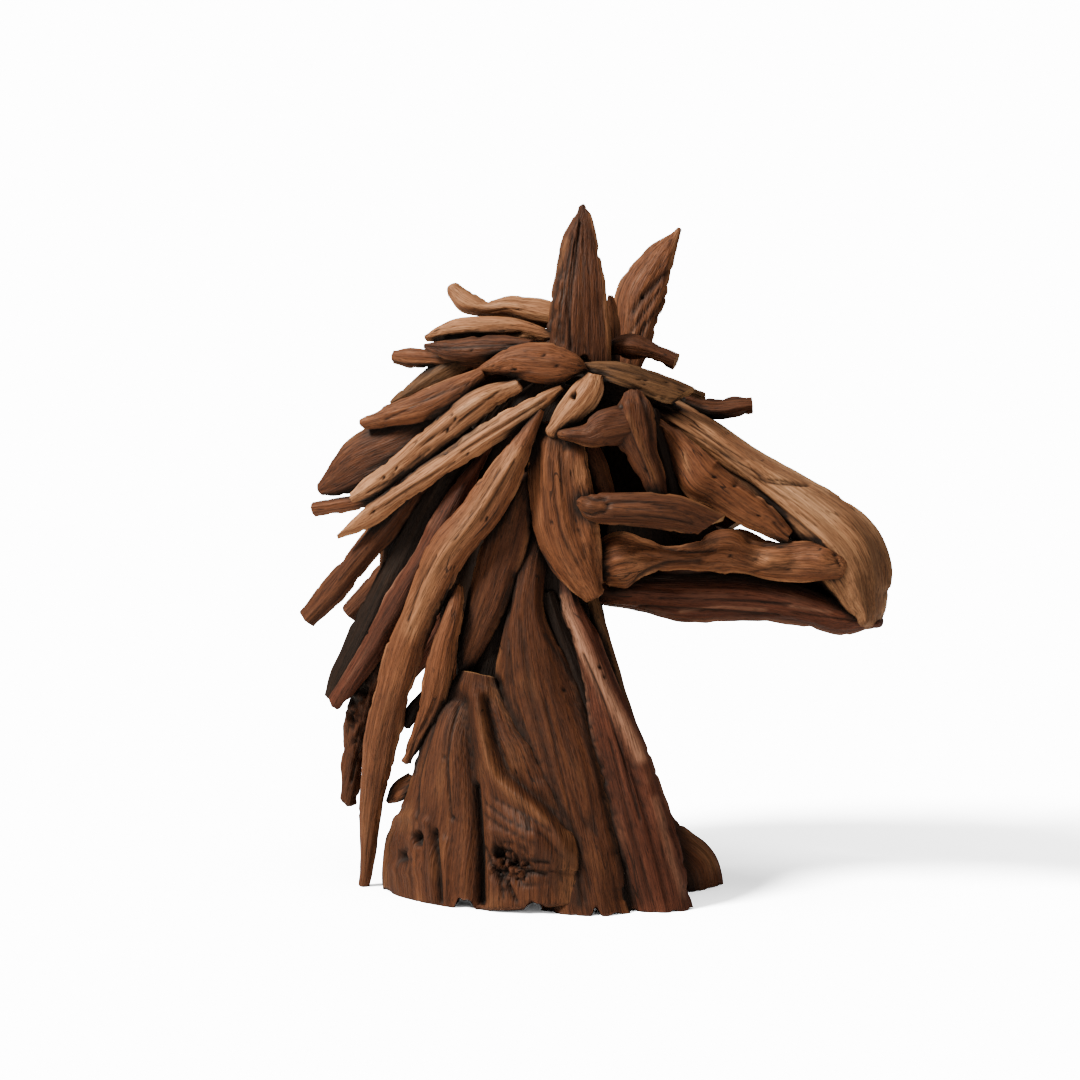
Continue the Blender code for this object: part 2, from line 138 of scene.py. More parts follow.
# Unit section: a squared oval whose broad face falls away from its ridge, its points spaced by arc length
def section(piece, width, depth):
    angle = np.linspace(0, 2 * math.pi, mesh["trial"])
    across = np.sign(np.cos(angle)) * np.abs(np.cos(angle)) ** (2 / piece["square"])
    out = np.sign(np.sin(angle)) * np.abs(np.sin(angle)) ** (2 / piece["square"])
    fall = 1 - piece["ridge"] * np.abs(across - piece["ridgeAt"]) / (1 + abs(piece["ridgeAt"]))
    out = np.where(out > 0, out * fall, out)
    step = np.hypot(np.diff(across) * width / 2, np.diff(out) * depth / 2)
    step = step / np.where(out[1:] > -0.3, mesh["around"], mesh["back"])
    run = np.concatenate([[0], np.cumsum(step)])
    count = int(max(mesh["fewest"], run[-1]))
    at = np.arange(count) / count * run[-1]
    return np.interp(at, run, across), np.interp(at, run, out)


# Flat facets split off the long corners; the planes sink and rise slowly along the piece
def faceted(piece, across, out, s, seed):
    across, out = (np.broadcast_to(a, (len(s), len(a))) for a in (across, out))
    for k, angle in enumerate((33, 66, 112, 149, 215, 270, 325)):
        turned = math.radians(angle) + 0.2 * noise(s / 110, k, 0.5, seed, True)
        level = 1.0 - piece["split"] * (0.17 + 0.17 * noise(s / 48, k, 5.5, seed, True))
        over = np.maximum(across * np.cos(turned) + out * np.sin(turned) - level, 0)
        across, out = across - over * np.cos(turned), out - over * np.sin(turned)
    return across, out


# Catmull-Rom curve through the rows, spaced by arc length, then rings that shrink to a point past each end
def stations(piece):
    rows = np.array(piece["path"], float)
    centre, reach = placed(rows[:, 0], rows[:, 1], rows[:, 2])
    depth = piece["thick"] * (rows[:, 3] / rows[:, 3].max()) ** piece["taper"]
    knots = np.column_stack([centre, rows[:, 3] * reach, depth])
    padded = np.vstack([2 * knots[0] - knots[1], knots, 2 * knots[-1] - knots[-2]])
    t = (np.arange(mesh["perRow"]) / mesh["perRow"])[:, None]
    a, b, c, d = (padded[k : len(padded) - 3 + k, None] for k in range(4))
    bend, twist = a - 2.5 * b + 2 * c - d / 2, 1.5 * (b - c) + (d - a) / 2
    curve = b + (c - a) * t / 2 + bend * t**2 + twist * t**3
    curve = np.vstack([curve.reshape(-1, 5), knots[-1:]])
    run = np.concatenate([[0], np.cumsum(np.linalg.norm(np.diff(curve[:, :3], axis=0), axis=1))])
    at = np.linspace(0, run[-1], int(run[-1] / mesh["along"]) + 2)
    curve = np.column_stack([np.interp(at, run, column) for column in curve.T])
    curve[:, 3:] = np.maximum(curve[:, 3:], 2.0)
    ways = np.gradient(curve[:, :3], axis=0)
    ways /= np.linalg.norm(ways, axis=1, keepdims=True)
    ends = []
    for row, way, kind in ((curve[0], -ways[0], piece["ends"][0]), (curve[-1], ways[-1], piece["ends"][1])):
        reachOut, power = {
            "round": (0.45 * min(row[3], row[4]), 2.0),
            "cut": (1.6, 6.0),
            "torn": (0.2 * min(row[3], row[4]), 3.0),
        }[kind]
        q = np.linspace(0, math.pi / 2, mesh["endRings"] + 1)[1:, None]
        shrunk = np.cos(q) ** (2 / power)
        shrunk[-1] = 0
        centre = row[:3] + way * reachOut * np.sin(q) ** (2 / power)
        ends.append((centre, np.tile(row[3:], (mesh["endRings"], 1)), shrunk))
    centre = np.vstack([ends[0][0][::-1], curve[:, :3], ends[1][0]])
    size = np.vstack([ends[0][1][::-1], curve[:, 3:], ends[1][1]])
    shrunk = np.vstack([ends[0][2][::-1], np.ones((len(curve), 1)), ends[1][2]])
    ways = np.vstack([ways[:1]] * mesh["endRings"] + [ways] + [ways[-1:]] * mesh["endRings"])
    run = np.concatenate([[0], np.cumsum(np.linalg.norm(np.diff(centre, axis=0), axis=1))])
    return centre, ways, size, shrunk, run


# How far each point of the drawing is from a line of several straight lengths
def farFrom(right, down, line):
    near = np.full(right.shape, 1e9)
    for a, b in zip(np.array(line, float), np.array(line[1:], float)):
        t = np.clip(((right - a[0]) * (b - a)[0] + (down - a[1]) * (b - a)[1]) / ((b - a) @ (b - a)), 0, 1)
        near = np.minimum(near, np.hypot(right - a[0] - t * (b - a)[0], down - a[1] - t * (b - a)[1]))
    return near


# Adds the marks to the surface: how far they lift it, where they darken it with painted shade, and where they
# lighten it with painted highlights
def marked(piece, points, facing):
    lift, dark, pale = (np.zeros(points.shape[:2]) for _ in range(3))
    right, down = drawnAt(points)

    def within(x, y, wide, high):
        return np.hypot((right - x) / wide, (down - y) / high)

    def beside(wide, line):
        return np.exp(-((farFrom(right, down, line) / wide) ** 2)) * facing

    for x, y, wide, high, deep in piece["holes"]:
        inside = (1 - smooth(0.75, 1.25, within(x, y, wide, high))) * facing
        lift -= deep * inside
        # the inside of a hole is painted dark: painted shade
        dark = np.maximum(dark, inside)
    for x, y, wide, high, deep in piece["ragged"]:
        inside = (1 - smooth(0.5, 1.1, within(x, y, wide, high))) * facing
        tear = noise(right / 5, down / 5, 0.0, 31) + 0.7 * noise(right / 2.4, down / 2.4, 0.0, 32)
        lift += deep * tear * inside
        # painted shade in the torn patch's low places
        dark = np.maximum(dark, 0.6 * smooth(0.1, 0.8, -tear) * inside)
    for x, y, long, wide, turn, rise in piece["swells"]:
        c, s = math.cos(math.radians(turn)), math.sin(math.radians(turn))
        along, across = (right - x) * c + (down - y) * s, (down - y) * c - (right - x) * s
        lift += rise * np.exp(-((along / long) ** 2) - (across / wide) ** 2) * facing
    for wide, deep, line in piece["grooves"]:
        inside = beside(wide, line)
        lift -= deep * inside
        # painted shade in the groove, darker where it is narrow and deep
        if deep > 0:
            shade = min(0.9, deep / 2 / max(1, wide / 2)) * (1 if wide < 4 else 0.25)
            dark = np.maximum(dark, inside * shade)
    # painted shadow along the line
    for wide, much, line in piece["paintedShade"]:
        dark = np.maximum(dark, much * beside(wide, line))
    # painted highlight along the line
    for wide, much, line in piece["paintedHighlights"]:
        pale = np.maximum(pale, much * beside(wide, line))
    return lift, dark, pale


# Lengths over which each kind of relief changes, along the grain and across it, in millimetres, and its own
# seed; the last four count their width across in furrows
waves = {
    "sway": (85, 40, 1),  # the grain's wander sideways, and out
    "rise": (85, 40, 2),
    "lump": (44, 20, 3),
    "smallLump": (19, 11, 4),
    "rough": (55, 17, 7),  # where the weather has furrowed it most
    "fine": (30, 1.9, 8),
    "gate": (60, 20, 10),  # where cracks open
    "flute": (120, 2.6, 5),
    "furrow": (75, 1, 6),
    "smallFurrow": (50, 1 / 2.1, 15),
    "split": (120, 2.2, 9),
}
weather = {"chip": 1.3, "flute": 0.55, "furrow": 0.7, "crackWide": 0.045, "tear": 0.13, "lowest": 0.3}


def wave(kind, s, x, y, seed, creased=False):
    long, wide, own = waves[kind]
    return noise(s / long, x / wide, y / wide, seed + own, creased)


# Each point's outward normal, across the steps along and around the surface; at an end's tip the end's way
def outwards(points, centre, ways):
    downwards = np.gradient(points, axis=0)
    around = np.roll(points, -1, axis=1) - np.roll(points, 1, axis=1)
    normal = np.cross(downwards, around)
    long = np.linalg.norm(normal, axis=2, keepdims=True)
    half = len(points) // 2
    ending = np.zeros_like(normal)
    ending[:half], ending[half:] = -ways[0], ways[-1]
    normal = np.where(long > 1e-6, normal / np.maximum(long, 1e-6), 0)
    outward = np.sign(np.sum(normal[half] * (points[half] - centre[half]), axis=1).mean())
    return np.where(long > 1e-6, normal * outward, ending), outward


# Relief of weathered wood: slow lumps, chips off the rims, flutes, furrows where it is rough, and open cracks
def weathered(piece, s, x, y, gx, gy, across, out, seed):
    fx, fy = gx / piece["furrowWide"], gy / piece["furrowWide"]
    lump = piece["lump"] * (wave("lump", s, x, y, seed) + 0.5 * wave("smallLump", s, x, y, seed, True))
    chip = smooth(0.35, 0.6, noise(s / 7, across * 2.5, out, seed + 17)) * smooth(0.6, 0.9, np.abs(across))
    rough = smooth(0.55 - piece["roughMuch"], 1.25 - piece["roughMuch"], wave("rough", s, gx, gy, seed))
    furrows = wave("furrow", s, fx, fy, seed) + 0.6 * wave("smallFurrow", s, fx, fy, seed)
    furrows = furrows * (0.12 + 0.88 * rough)
    opens = 0.8 - 1.5 * piece["crackMuch"]
    crack = np.exp(-((wave("split", s, fx, fy, seed) / weather["crackWide"]) ** 2))
    crack = crack * smooth(opens, opens + 0.2, wave("gate", s, gx, gy, seed))
    relief = lump - weather["chip"] * chip
    relief = relief + weather["flute"] * piece["furrow"] * wave("flute", s, fx, fy, seed)
    uneven = np.where(furrows > 0, furrows * 0.5, furrows * 1.2)
    relief = relief + weather["furrow"] * piece["furrow"] * uneven
    relief = relief + piece["fine"] * wave("fine", s, gx, gy, seed) * (0.5 + rough) - piece["crack"] * crack
    return relief, lump, furrows, crack


# A mitred end goes further on one side of the path than on the other
def mitred(piece, points, s, across, ways):
    for end, way in ((0, -1), (-1, 1)):
        long = piece["mitre"][end]
        if long:
            fading = np.clip(1 - np.abs(s - s[end]) / (2.5 * abs(long)), 0, 1)
            points = points + ways[:, None] * (way * long * across * fading)[..., None]
    return points


# A torn end's fibres stop at different lengths
def torn(piece, points, s, gx, gy, size, ways, seed):
    for end, way in ((0, -1), (-1, 1)):
        if piece["ends"][end] == "torn" and not (piece["grounded"] and end == -1):
            fibre = noise(0.0, gx / 9, gy / 9, seed + 11) + 0.35 * noise(0.0, gx / 3, gy / 3, seed + 12)
            reach = weather["tear"] * np.hypot(*size[end]) * fibre * np.exp(-np.abs(s - s[end]) / 14)
            points = points + ways[:, None] * (way * reach)[..., None]
    return points


# A grounded piece is cut off level, with chips and notches that rise off the floor
def cutLevel(piece, points, x, y, ways, seed):
    chips = noise(x / 9, y / 40, 0.0, seed + 13) + 0.4 * noise(x / 3.5, y / 20, 0.0, seed + 14)
    floor = piece["foot"] * np.clip(chips, 0, 1)
    right = drawnAt(points)[0]
    for at, half, high in piece["notches"]:
        floor = floor + high * (1 - smooth(0.6, 1.2, np.abs(right - at) / half))
    under = np.minimum(points[..., 2] - floor, 0)
    return points - ways[:, None] * (under / np.minimum(ways[:, None, 2], -0.5))[..., None]


carved = []


# A piece is its section carried along its path; every point is then moved along its normal by its relief
def carve(settings):
    piece = {**usual, **marks, **settings}
    seed = 7 + 13 * len(carved)
    centre, ways, size, shrunk, run = stations(piece)
    across, out = section(piece, size[:, 0].mean(), size[:, 1].mean())
    across, out = faceted(piece, across, out, run[:, None], seed)
    face = np.array([piece["face"][0], -piece["face"][1], piece["face"][2]], float)
    side = np.cross(ways, face)
    side /= np.linalg.norm(side, axis=1, keepdims=True)
    front = np.cross(side, ways)
    s = run[:, None]
    width, depth = size[:, :1], size[:, 1:]
    wander = noise(s / 26, across * 0.7, 0.0, seed, True)
    wander = wander + 0.6 * noise(s / 9, across * 0.7, 3.0, seed, True)
    x = (across * width / 2 + np.sign(across) * across**2 * piece["edge"] * wander) * shrunk
    middle = -piece["curl"] * (width / width.max()) * (across * shrunk) ** 2
    y = middle + out * depth / 2 * shrunk
    points = centre[:, None] + side[:, None] * x[..., None] + front[:, None] * y[..., None]
    normal, outward = outwards(points, centre, ways)

    # The grain runs along the piece, spreads with its width and wanders a little
    gx = across * shrunk * (width / 2) ** (1 - piece["fan"]) * (width.mean() / 2) ** piece["fan"]
    gy = out * shrunk * depth / 2
    gx = gx + piece["flow"] * wave("sway", s, gx, gy, seed)
    gy = gy + 0.5 * piece["flow"] * wave("rise", s, gx, gy, seed)
    relief, lump, furrows, crack = weathered(piece, s, x, y, gx, gy, across, out, seed)
    facing = np.zeros(x.shape) if piece["mirror"] else smooth(0.0, 0.25, normal @ sight)
    points = mitred(piece, points, s, across, ways)
    lift, dark, pale = marked(piece, points, facing)
    lift = (relief * (0.35 + 0.65 * shrunk) + lift) * smooth(0, 0.5, shrunk + 0.12)
    points = torn(piece, points + normal * lift[..., None], s, gx, gy, size, ways, seed)
    if piece["grounded"]:
        points = cutLevel(piece, points, x, y, ways, seed)
    points[..., 2] = np.maximum(points[..., 2], weather["lowest"])

    # What the finish reads: painted shade in hollows, worn high places, painted highlights on the rims, and
    # sawn ends
    hollowShade = np.clip(smooth(0.3, 1.3, -furrows) * 0.24 + crack * 0.6, 0, 1)
    # painted highlight along the long rims, in patches
    rimPatches = smooth(-0.4, 0.5, noise(s / 25, across, 0.0, seed + 16))
    rimHighlight = smooth(0.8, 1.0, np.abs(across)) * rimPatches * shrunk
    high = smooth(0.3, 1.3, lump / max(piece["lump"], 0.1))
    wearAndHighlight = np.clip(smooth(0.2, 1.0, furrows) * 0.3 + high * 0.35 + rimHighlight * 0.5, 0, 1)
    sawn = np.zeros_like(x)
    if piece["ends"][0] == "cut":
        sawn[: mesh["endRings"] - 1] = 1
    if piece["ends"][1] == "cut" and not piece["grounded"]:
        sawn[1 - mesh["endRings"] :] = 1
    inwards = front[:, None] * (y - middle)[..., None]
    if piece["mirror"]:
        for array in (points, normal, inwards):
            array[..., 1] *= -1
    carved.append(
        {
            "piece": piece,
            "points": points,
            "normal": normal,
            "core": points - inwards,
            "wood": np.stack([np.broadcast_to(s, x.shape) + seed * 37, gx + seed * 5, gy], axis=-1) / 1000,
            "hollowShade": np.maximum(hollowShade, dark),
            "wearAndHighlight": np.maximum(wearAndHighlight, pale),
            "sawn": sawn,
            "flip": (outward < 0) != piece["mirror"],
        }
    )


# The far side has the near side's piece again, mirrored and without its marks
def farCopy(settings, name, node, wider=1.0, further=0.0, keep=None, **changes):
    rows = settings["path"][:keep]
    rows = [(right, down, out + further, width * wider) for right, down, out, width in rows]
    carve({**settings, **marks, "name": name, "node": node, "path": rows, "mirror": True, **changes})


# face, near side

cheekbone = {
    "name": "cheekbone", "node": "cheekbone", "finish": "brown", "thick": 22, "ridge": 0.3,
    "ends": ("round", "cut"), "mitre": (0, -9), "furrow": 0.8, "crackMuch": 0.3, "roughMuch": 0.3,
    "path": [
        (582, 503, 92, 12), (597, 508, 97, 29), (645, 510, 94, 35), (680, 514, 87, 36),
        (710, 524, 80, 28),
    ],
    "holes": [(591, 507, 1.3, 1.3, 2.5)],
    "ragged": [(590, 505, 8, 8, 0.8)],
    "swells": [(590, 505, 8, 9, 0, 3), (640, 527, 40, 4, 3, -2)],
    "grooves": [
        (1.4, 2.5, [(587, 497), (596, 501), (604, 498), (608, 507), (604, 512)]),
        (1.3, 2, [(583, 512), (592, 515), (601, 511)]), (1.1, 2, [(607, 503), (640, 501), (675, 508)]),
        (0.9, 1.5, [(612, 517), (650, 516), (692, 523)]),
        (0.9, 1.2, [(625, 509), (660, 509), (690, 515)]),
    ],
}
carve(cheekbone)

browArm = {
    "name": "browArm", "node": "brow_fork", "finish": "brown", "thick": 22, "ends": ("round", "round"),
    "furrow": 0.4, "crackMuch": 0.1,
    "path": [
        (561, 434, 92, 6), (576, 435, 94, 15), (590, 435, 94, 25), (604, 428, 92, 37), (626, 424, 87, 40),
    ],
    "swells": [(578, 434, 1.5, 1.5, 0, 1), (600, 440, 14, 6, 10, 2)],
    "grooves": [(5, -2, [(566, 434), (590, 429), (604, 418), (616, 409)])],
}
carve(browArm)

browLeg = {
    "name": "browLeg", "node": "brow_fork", "finish": "brown", "thick": 26, "ridge": 0.4, "ridgeAt": 0.3,
    "furrow": 0.6, "crackMuch": 0.2,
    "path": [
        (632, 396, 80, 24), (633, 412, 85, 41), (635, 430, 85, 43), (643, 454, 83, 31),
        (651, 473, 80, 25), (659, 498, 77, 20),
    ],
    "holes": [(621, 406, 2.5, 2, 3), (646, 471, 1.4, 1, 2)],
    "swells": [(628, 404, 6, 5, 0, 3)],
    "grooves": [
        (2.2, 1.6, [(642, 398), (649, 420), (653, 440)]), (1, 1.5, [(625, 420), (636, 445), (650, 478)]),
        (3, -1.5, [(646, 403), (651, 420), (648, 434)]),
    ],
    "paintedHighlights": [(3, 0.4, [(628, 416), (640, 442), (655, 480)])],
}
carve(browLeg)

muzzleSide = {
    "name": "muzzleSide", "node": "muzzle_side", "finish": "tan", "thick": 20, "ridge": 0.2,
    "ends": ("round", "torn"), "furrow": 0.5, "crackMuch": 0.15, "roughMuch": 0.15,
    "path": [
        (656, 421, 57, 7), (668, 432, 61, 16), (681, 449, 64, 28), (691, 464, 65, 39), (702, 479, 65, 48),
        (717, 488, 62, 41), (747, 509, 56, 36), (770, 523, 52, 29), (789, 537, 49, 18),
    ],
    "holes": [
        (716, 477, 1.6, 1.5, 3), (720, 492, 1.2, 1.2, 3), (727, 493, 1.2, 1.2, 3),
        (735, 486, 1.5, 1.4, 3), (743, 489, 1.2, 1.1, 3), (760, 516, 1.6, 1.2, 2),
    ],
    "swells": [(694, 485, 12, 8, 40, 2)],
    "grooves": [
        (3, -1.2, [(662, 425), (700, 458), (740, 492), (780, 522)]),
        (1, 1.4, [(768, 506), (778, 520), (786, 528)]), (1.2, 1.6, [(774, 522), (784, 533), (791, 538)]),
    ],
    "paintedHighlights": [(3, 0.6, [(683, 454), (687, 468)])],
}
carve(muzzleSide)

cheekTop = {
    "name": "cheekTop", "node": "cheek_top", "finish": "pale", "thick": 20, "ends": ("torn", "round"),
    "furrow": 0.4, "crackMuch": 0.1,
    "path": [(594, 378, 78, 17), (587, 392, 84, 31), (571, 411, 86, 27), (553, 431, 86, 18)],
    "holes": [(573, 396, 2.6, 3.6, 7)],
}
carve(cheekTop)

cheekPlate = {
    "name": "cheekPlate", "node": "cheek_plate", "finish": "tan", "thick": 24, "ridge": 0.35,
    "ridgeAt": 0.2, "furrow": 0.5, "crackMuch": 0.25, "roughMuch": 0.2,
    "path": [
        (560, 430, 78, 50), (558, 466, 80, 66), (561, 500, 80, 70), (567, 534, 79, 68),
        (579, 566, 76, 52), (594, 594, 72, 24),
    ],
    "holes": [(551, 521, 1.8, 1.4, 2)],
    "grooves": [
        (6, -2.5, [(546, 442), (549, 475), (556, 505)]), (8, 2.2, [(564, 450), (569, 490), (577, 530)]),
        (0.9, 1.5, [(559, 452), (562, 500)]), (0.9, 1.2, [(571, 470), (576, 520), (586, 560)]),
        (5, -2, [(580, 450), (588, 490), (592, 540)]),
    ],
    "paintedShade": [(3.5, 0.5, [(551, 462), (553, 480)]), (7, 0.3, [(560, 440), (566, 480)])],
}
carve(cheekPlate)

upperJaw = {
    "name": "upperJaw", "node": "upper_jaw", "finish": "tan", "thick": 34, "ends": ("torn", "round"),
    "furrow": 0.7, "crackMuch": 0.3, "roughMuch": 0.3,
    "path": [
        (602, 567, 56, 44), (622, 560, 58, 56), (645, 558, 56, 38), (668, 559, 52, 25),
        (700, 556, 49, 32), (725, 551, 47, 46), (750, 557, 47, 35), (776, 562, 48, 38),
        (808, 562, 48, 43), (837, 566, 48, 27),
    ],
    "holes": [(730, 556, 1.4, 1.2, 2), (710, 553, 1.2, 1, 2)],
    "ragged": [(764, 560, 14, 11, 1.3)],
    "swells": [
        (767, 563, 13, 9, -20, 4), (793, 560, 8, 12, 0, -3), (823, 560, 12, 15, 20, 5),
        (708, 548, 22, 7, 0, -3), (735, 536, 12, 6, 0, 3),
    ],
    "grooves": [
        (3, 2.5, [(628, 590), (645, 572), (668, 562), (700, 561)]),
        (3, -2.5, [(618, 560), (640, 552), (665, 553), (690, 560), (720, 570)]),
        (1.2, 2, [(660, 548), (690, 552), (715, 550)]), (1, 1.5, [(752, 572), (775, 566), (790, 570)]),
        (1, 2, [(812, 540), (832, 552), (840, 566)]),
    ],
    # painted shade in the hollow under the cheekbone
    "paintedShade": [(4, 0.6, [(655, 535), (690, 543), (715, 540)])],
    "paintedHighlights": [(8, 0.35, [(757, 558), (775, 562)])],
}
carve(upperJaw)

eyePost = {
    "name": "eyePost", "node": "eye_post", "finish": "brown", "thick": 16,
    "path": [(584, 438, 58, 20), (594, 466, 60, 28), (604, 502, 62, 26)],
}
carve(eyePost)

# near-black finish: painted shade, since this piece lies in shadow
browBack = {
    "name": "browBack", "node": "brow_back", "finish": "dark", "thick": 16,
    "path": [(652, 412, 58, 18), (663, 452, 60, 24), (674, 500, 60, 22)],
}
carve(browBack)

# poll: ears, forelock and crest

earNear = {
    "name": "earNear", "node": "ear_near", "finish": "brown", "thick": 32, "ridge": 0.7, "ridgeAt": -0.35,
    "ends": ("torn", "round"), "furrowWide": 5, "fan": 0.8, "crackMuch": 0.4, "roughMuch": 0.1,
    "path": [
        (576, 358, 46, 73), (578, 300, 48, 59), (579, 250, 44, 41), (582, 226, 42, 27),
        (583, 208, 41, 10),
    ],
    "holes": [(569, 236, 1.3, 1.2, 2)],
    "ragged": [(560, 300, 10, 60, 1.1)],
    "grooves": [
        (1.4, 2.4, [(580, 222), (575, 265), (569, 310), (571, 350)]),
        (1.2, 2, [(572, 235), (563, 290), (556, 340)]), (1.1, 2, [(575, 240), (568, 290), (563, 345)]),
        (1.1, 1.8, [(562, 262), (553, 305), (548, 342)]),
        (0.9, 1.4, [(566, 270), (560, 310), (559, 352)]),
        (1.5, -1, [(590, 213), (598, 242), (604, 282), (609, 345)]), (0.8, 0.8, [(588, 250), (592, 350)]),
        (0.8, 0.8, [(584, 240), (582, 300), (585, 355)]), (0.8, 0.7, [(596, 270), (601, 350)]),
    ],
    # painted highlight along the raised ridge
    "paintedHighlights": [
        (2, 0.7, [(590, 213), (598, 242), (604, 282), (609, 345)]), (3, 0.5, [(566, 240), (557, 268)]),
    ],
}
carve(earNear)

earFar = {
    "name": "earFar", "node": "ear_far", "finish": "tan", "thick": 24, "ridge": 0.6, "ridgeAt": 0.3,
    "ends": ("torn", "round"), "furrow": 0.6, "crackMuch": 0.3, "roughMuch": 0.2,
    "path": [
        (627, 372, -40, 26), (634, 340, -42, 38), (640, 297, -46, 54), (657, 264, -50, 35),
        (671, 243, -52, 18), (679, 230, -53, 5),
    ],
    "holes": [(642, 296, 2, 1.4, 3)],
    "grooves": [
        (3, 2.4, [(668, 272), (655, 284), (642, 298), (633, 312)]),
        (1.2, 1.8, [(660, 290), (640, 318), (628, 338)]),
        (1.2, 1.8, [(664, 300), (648, 322), (636, 342)]),
        (3, -1.5, [(668, 255), (664, 285), (652, 318), (646, 340)]),
    ],
    "paintedHighlights": [(2.5, 0.5, [(677, 232), (672, 262), (667, 290)])],
}
carve(earFar)

pollLozenge = {
    "name": "pollLozenge", "node": "poll_lozenge", "finish": "tan", "thick": 24, "ridge": 0.3,
    "ends": ("round", "round"), "furrow": 0.35, "crackMuch": 0.1, "roughMuch": 0.05,
    "path": [
        (479, 371, 76, 9), (515, 362, 81, 34), (550, 364, 83, 44), (574, 366, 80, 28), (587, 370, 74, 6),
    ],
    "holes": [
        (543, 354, 1.2, 1.2, 2.5), (555, 358, 1.2, 1.2, 2.5), (556, 365, 1.3, 1.3, 2.5),
        (514, 370, 2.6, 1.3, 3), (510, 374, 1.8, 1.2, 2.5), (494, 365, 1.2, 0.9, 2),
    ],
    "grooves": [
        (2, 1, [(483, 373), (500, 378), (530, 372)]), (4, -1.5, [(485, 368), (515, 352), (550, 348)]),
    ],
}
carve(pollLozenge)

forelockSlab = {
    "name": "forelockSlab", "node": "forelock_slab", "finish": "grey", "thick": 14, "face": (0, 1, 0.7),
    "square": 3.2, "taper": 0.3, "furrowWide": 5, "crackMuch": 0.5, "ends": ("torn", "cut"),
    "mitre": (0, -11),
    "path": [
        (586, 369, 70, 14), (603, 370, 68, 23), (622, 374, 66, 31), (650, 384, 58, 34),
        (670, 391, 50, 34), (681, 395, 45, 31),
    ],
    "holes": [
        (640, 379, 2.2, 1.2, 2.5), (646, 380, 1.4, 1.3, 2.5), (643, 384, 1.2, 1.0, 2),
        (665, 382, 2, 1, 2),
    ],
    "grooves": [
        (1, 1.6, [(600, 372), (630, 384), (655, 396)]), (1, 1.4, [(610, 367), (640, 374), (670, 386)]),
        (0.9, 1.4, [(596, 376), (620, 384), (640, 392)]),
        (0.9, 1.2, [(630, 366), (660, 376), (685, 388)]),
    ],
}
carve(forelockSlab)

pollKnob = {
    "name": "pollKnob", "node": "poll_knob", "finish": "brown", "thick": 32, "ends": ("round", "cut"),
    "path": [
        (611, 349, 20, 13), (622, 346, 24, 22), (636, 347, 25, 26), (652, 352, 24, 20),
        (675, 361, 22, 17),
    ],
}
carve(pollKnob)

forelockStub = {
    "name": "forelockStub", "node": "forelock_stub", "finish": "brown", "thick": 26, "square": 3.2,
    "ends": ("torn", "cut"), "furrow": 1.2, "furrowWide": 4, "crackMuch": 0.6,
    "path": [(684, 401, 0, 14), (712, 409, -4, 23), (738, 407, -6, 22), (751, 406, -8, 18)],
}
carve(forelockStub)

earWedge = {
    "name": "earWedge", "node": "ear_wedge", "finish": "tan", "thick": 24,
    "path": [(612, 366, -4, 17), (613, 350, -4, 15), (612, 325, -2, 14), (610, 296, 0, 6)],
}
carve(earWedge)

crestCurl = {
    "name": "crestCurl", "node": "crest_curl", "finish": "pale", "thick": 28, "ridge": 0.4,
    "ends": ("torn", "round"), "furrow": 1.0, "furrowWide": 5,
    "path": [
        (556, 317, 16, 28), (535, 312, 18, 28), (510, 307, 20, 22), (487, 309, 22, 17),
        (467, 302, 22, 23), (454, 291, 22, 17),
    ],
}
carve(crestCurl)

crestSlab = {
    "name": "crestSlab", "node": "crest_slab", "finish": "pale", "thick": 28, "face": (0, 1, 0.5),
    "ridge": 0.5, "ridgeAt": 0.2, "furrow": 0.7,
    "path": [
        (556, 338, 44, 12), (520, 330, 46, 21), (490, 328, 48, 26), (464, 329, 48, 30),
        (445, 333, 48, 22), (427, 338, 48, 7),
    ],
    "grooves": [(2.2, 4, [(449, 338), (475, 336), (500, 339), (520, 334)])],
}
carve(crestSlab)

crestSplinter = {
    "name": "crestSplinter", "node": "crest_splinter", "finish": "brown", "thick": 20,
    "path": [(530, 344, 70, 12), (485, 349, 66, 26), (455, 350, 62, 21), (425, 346, 58, 5)],
    "holes": [(470, 350, 1.5, 1.2, 2)],
    "grooves": [(1.2, 2, [(440, 348), (480, 346), (515, 344)])],
}
carve(crestSplinter)

# near-black finish: painted shade, since this piece lies in shadow
crestInner = {
    "name": "crestInner", "node": "crest_slab", "finish": "dark", "thick": 20, "ridge": 0,
    "path": [(562, 348, 20, 24), (520, 342, 22, 16), (476, 340, 24, 10)],
}
carve(crestInner)

crestStub = {
    "name": "crestStub", "node": "crest_stub", "finish": "tan", "thick": 22, "square": 3.4,
    "ends": ("torn", "cut"),
    "path": [(490, 362, 40, 20), (440, 359, 38, 20), (414, 358, 36, 22), (395, 356, 34, 15)],
}
carve(crestStub)

# mane, near side, the outer layer first

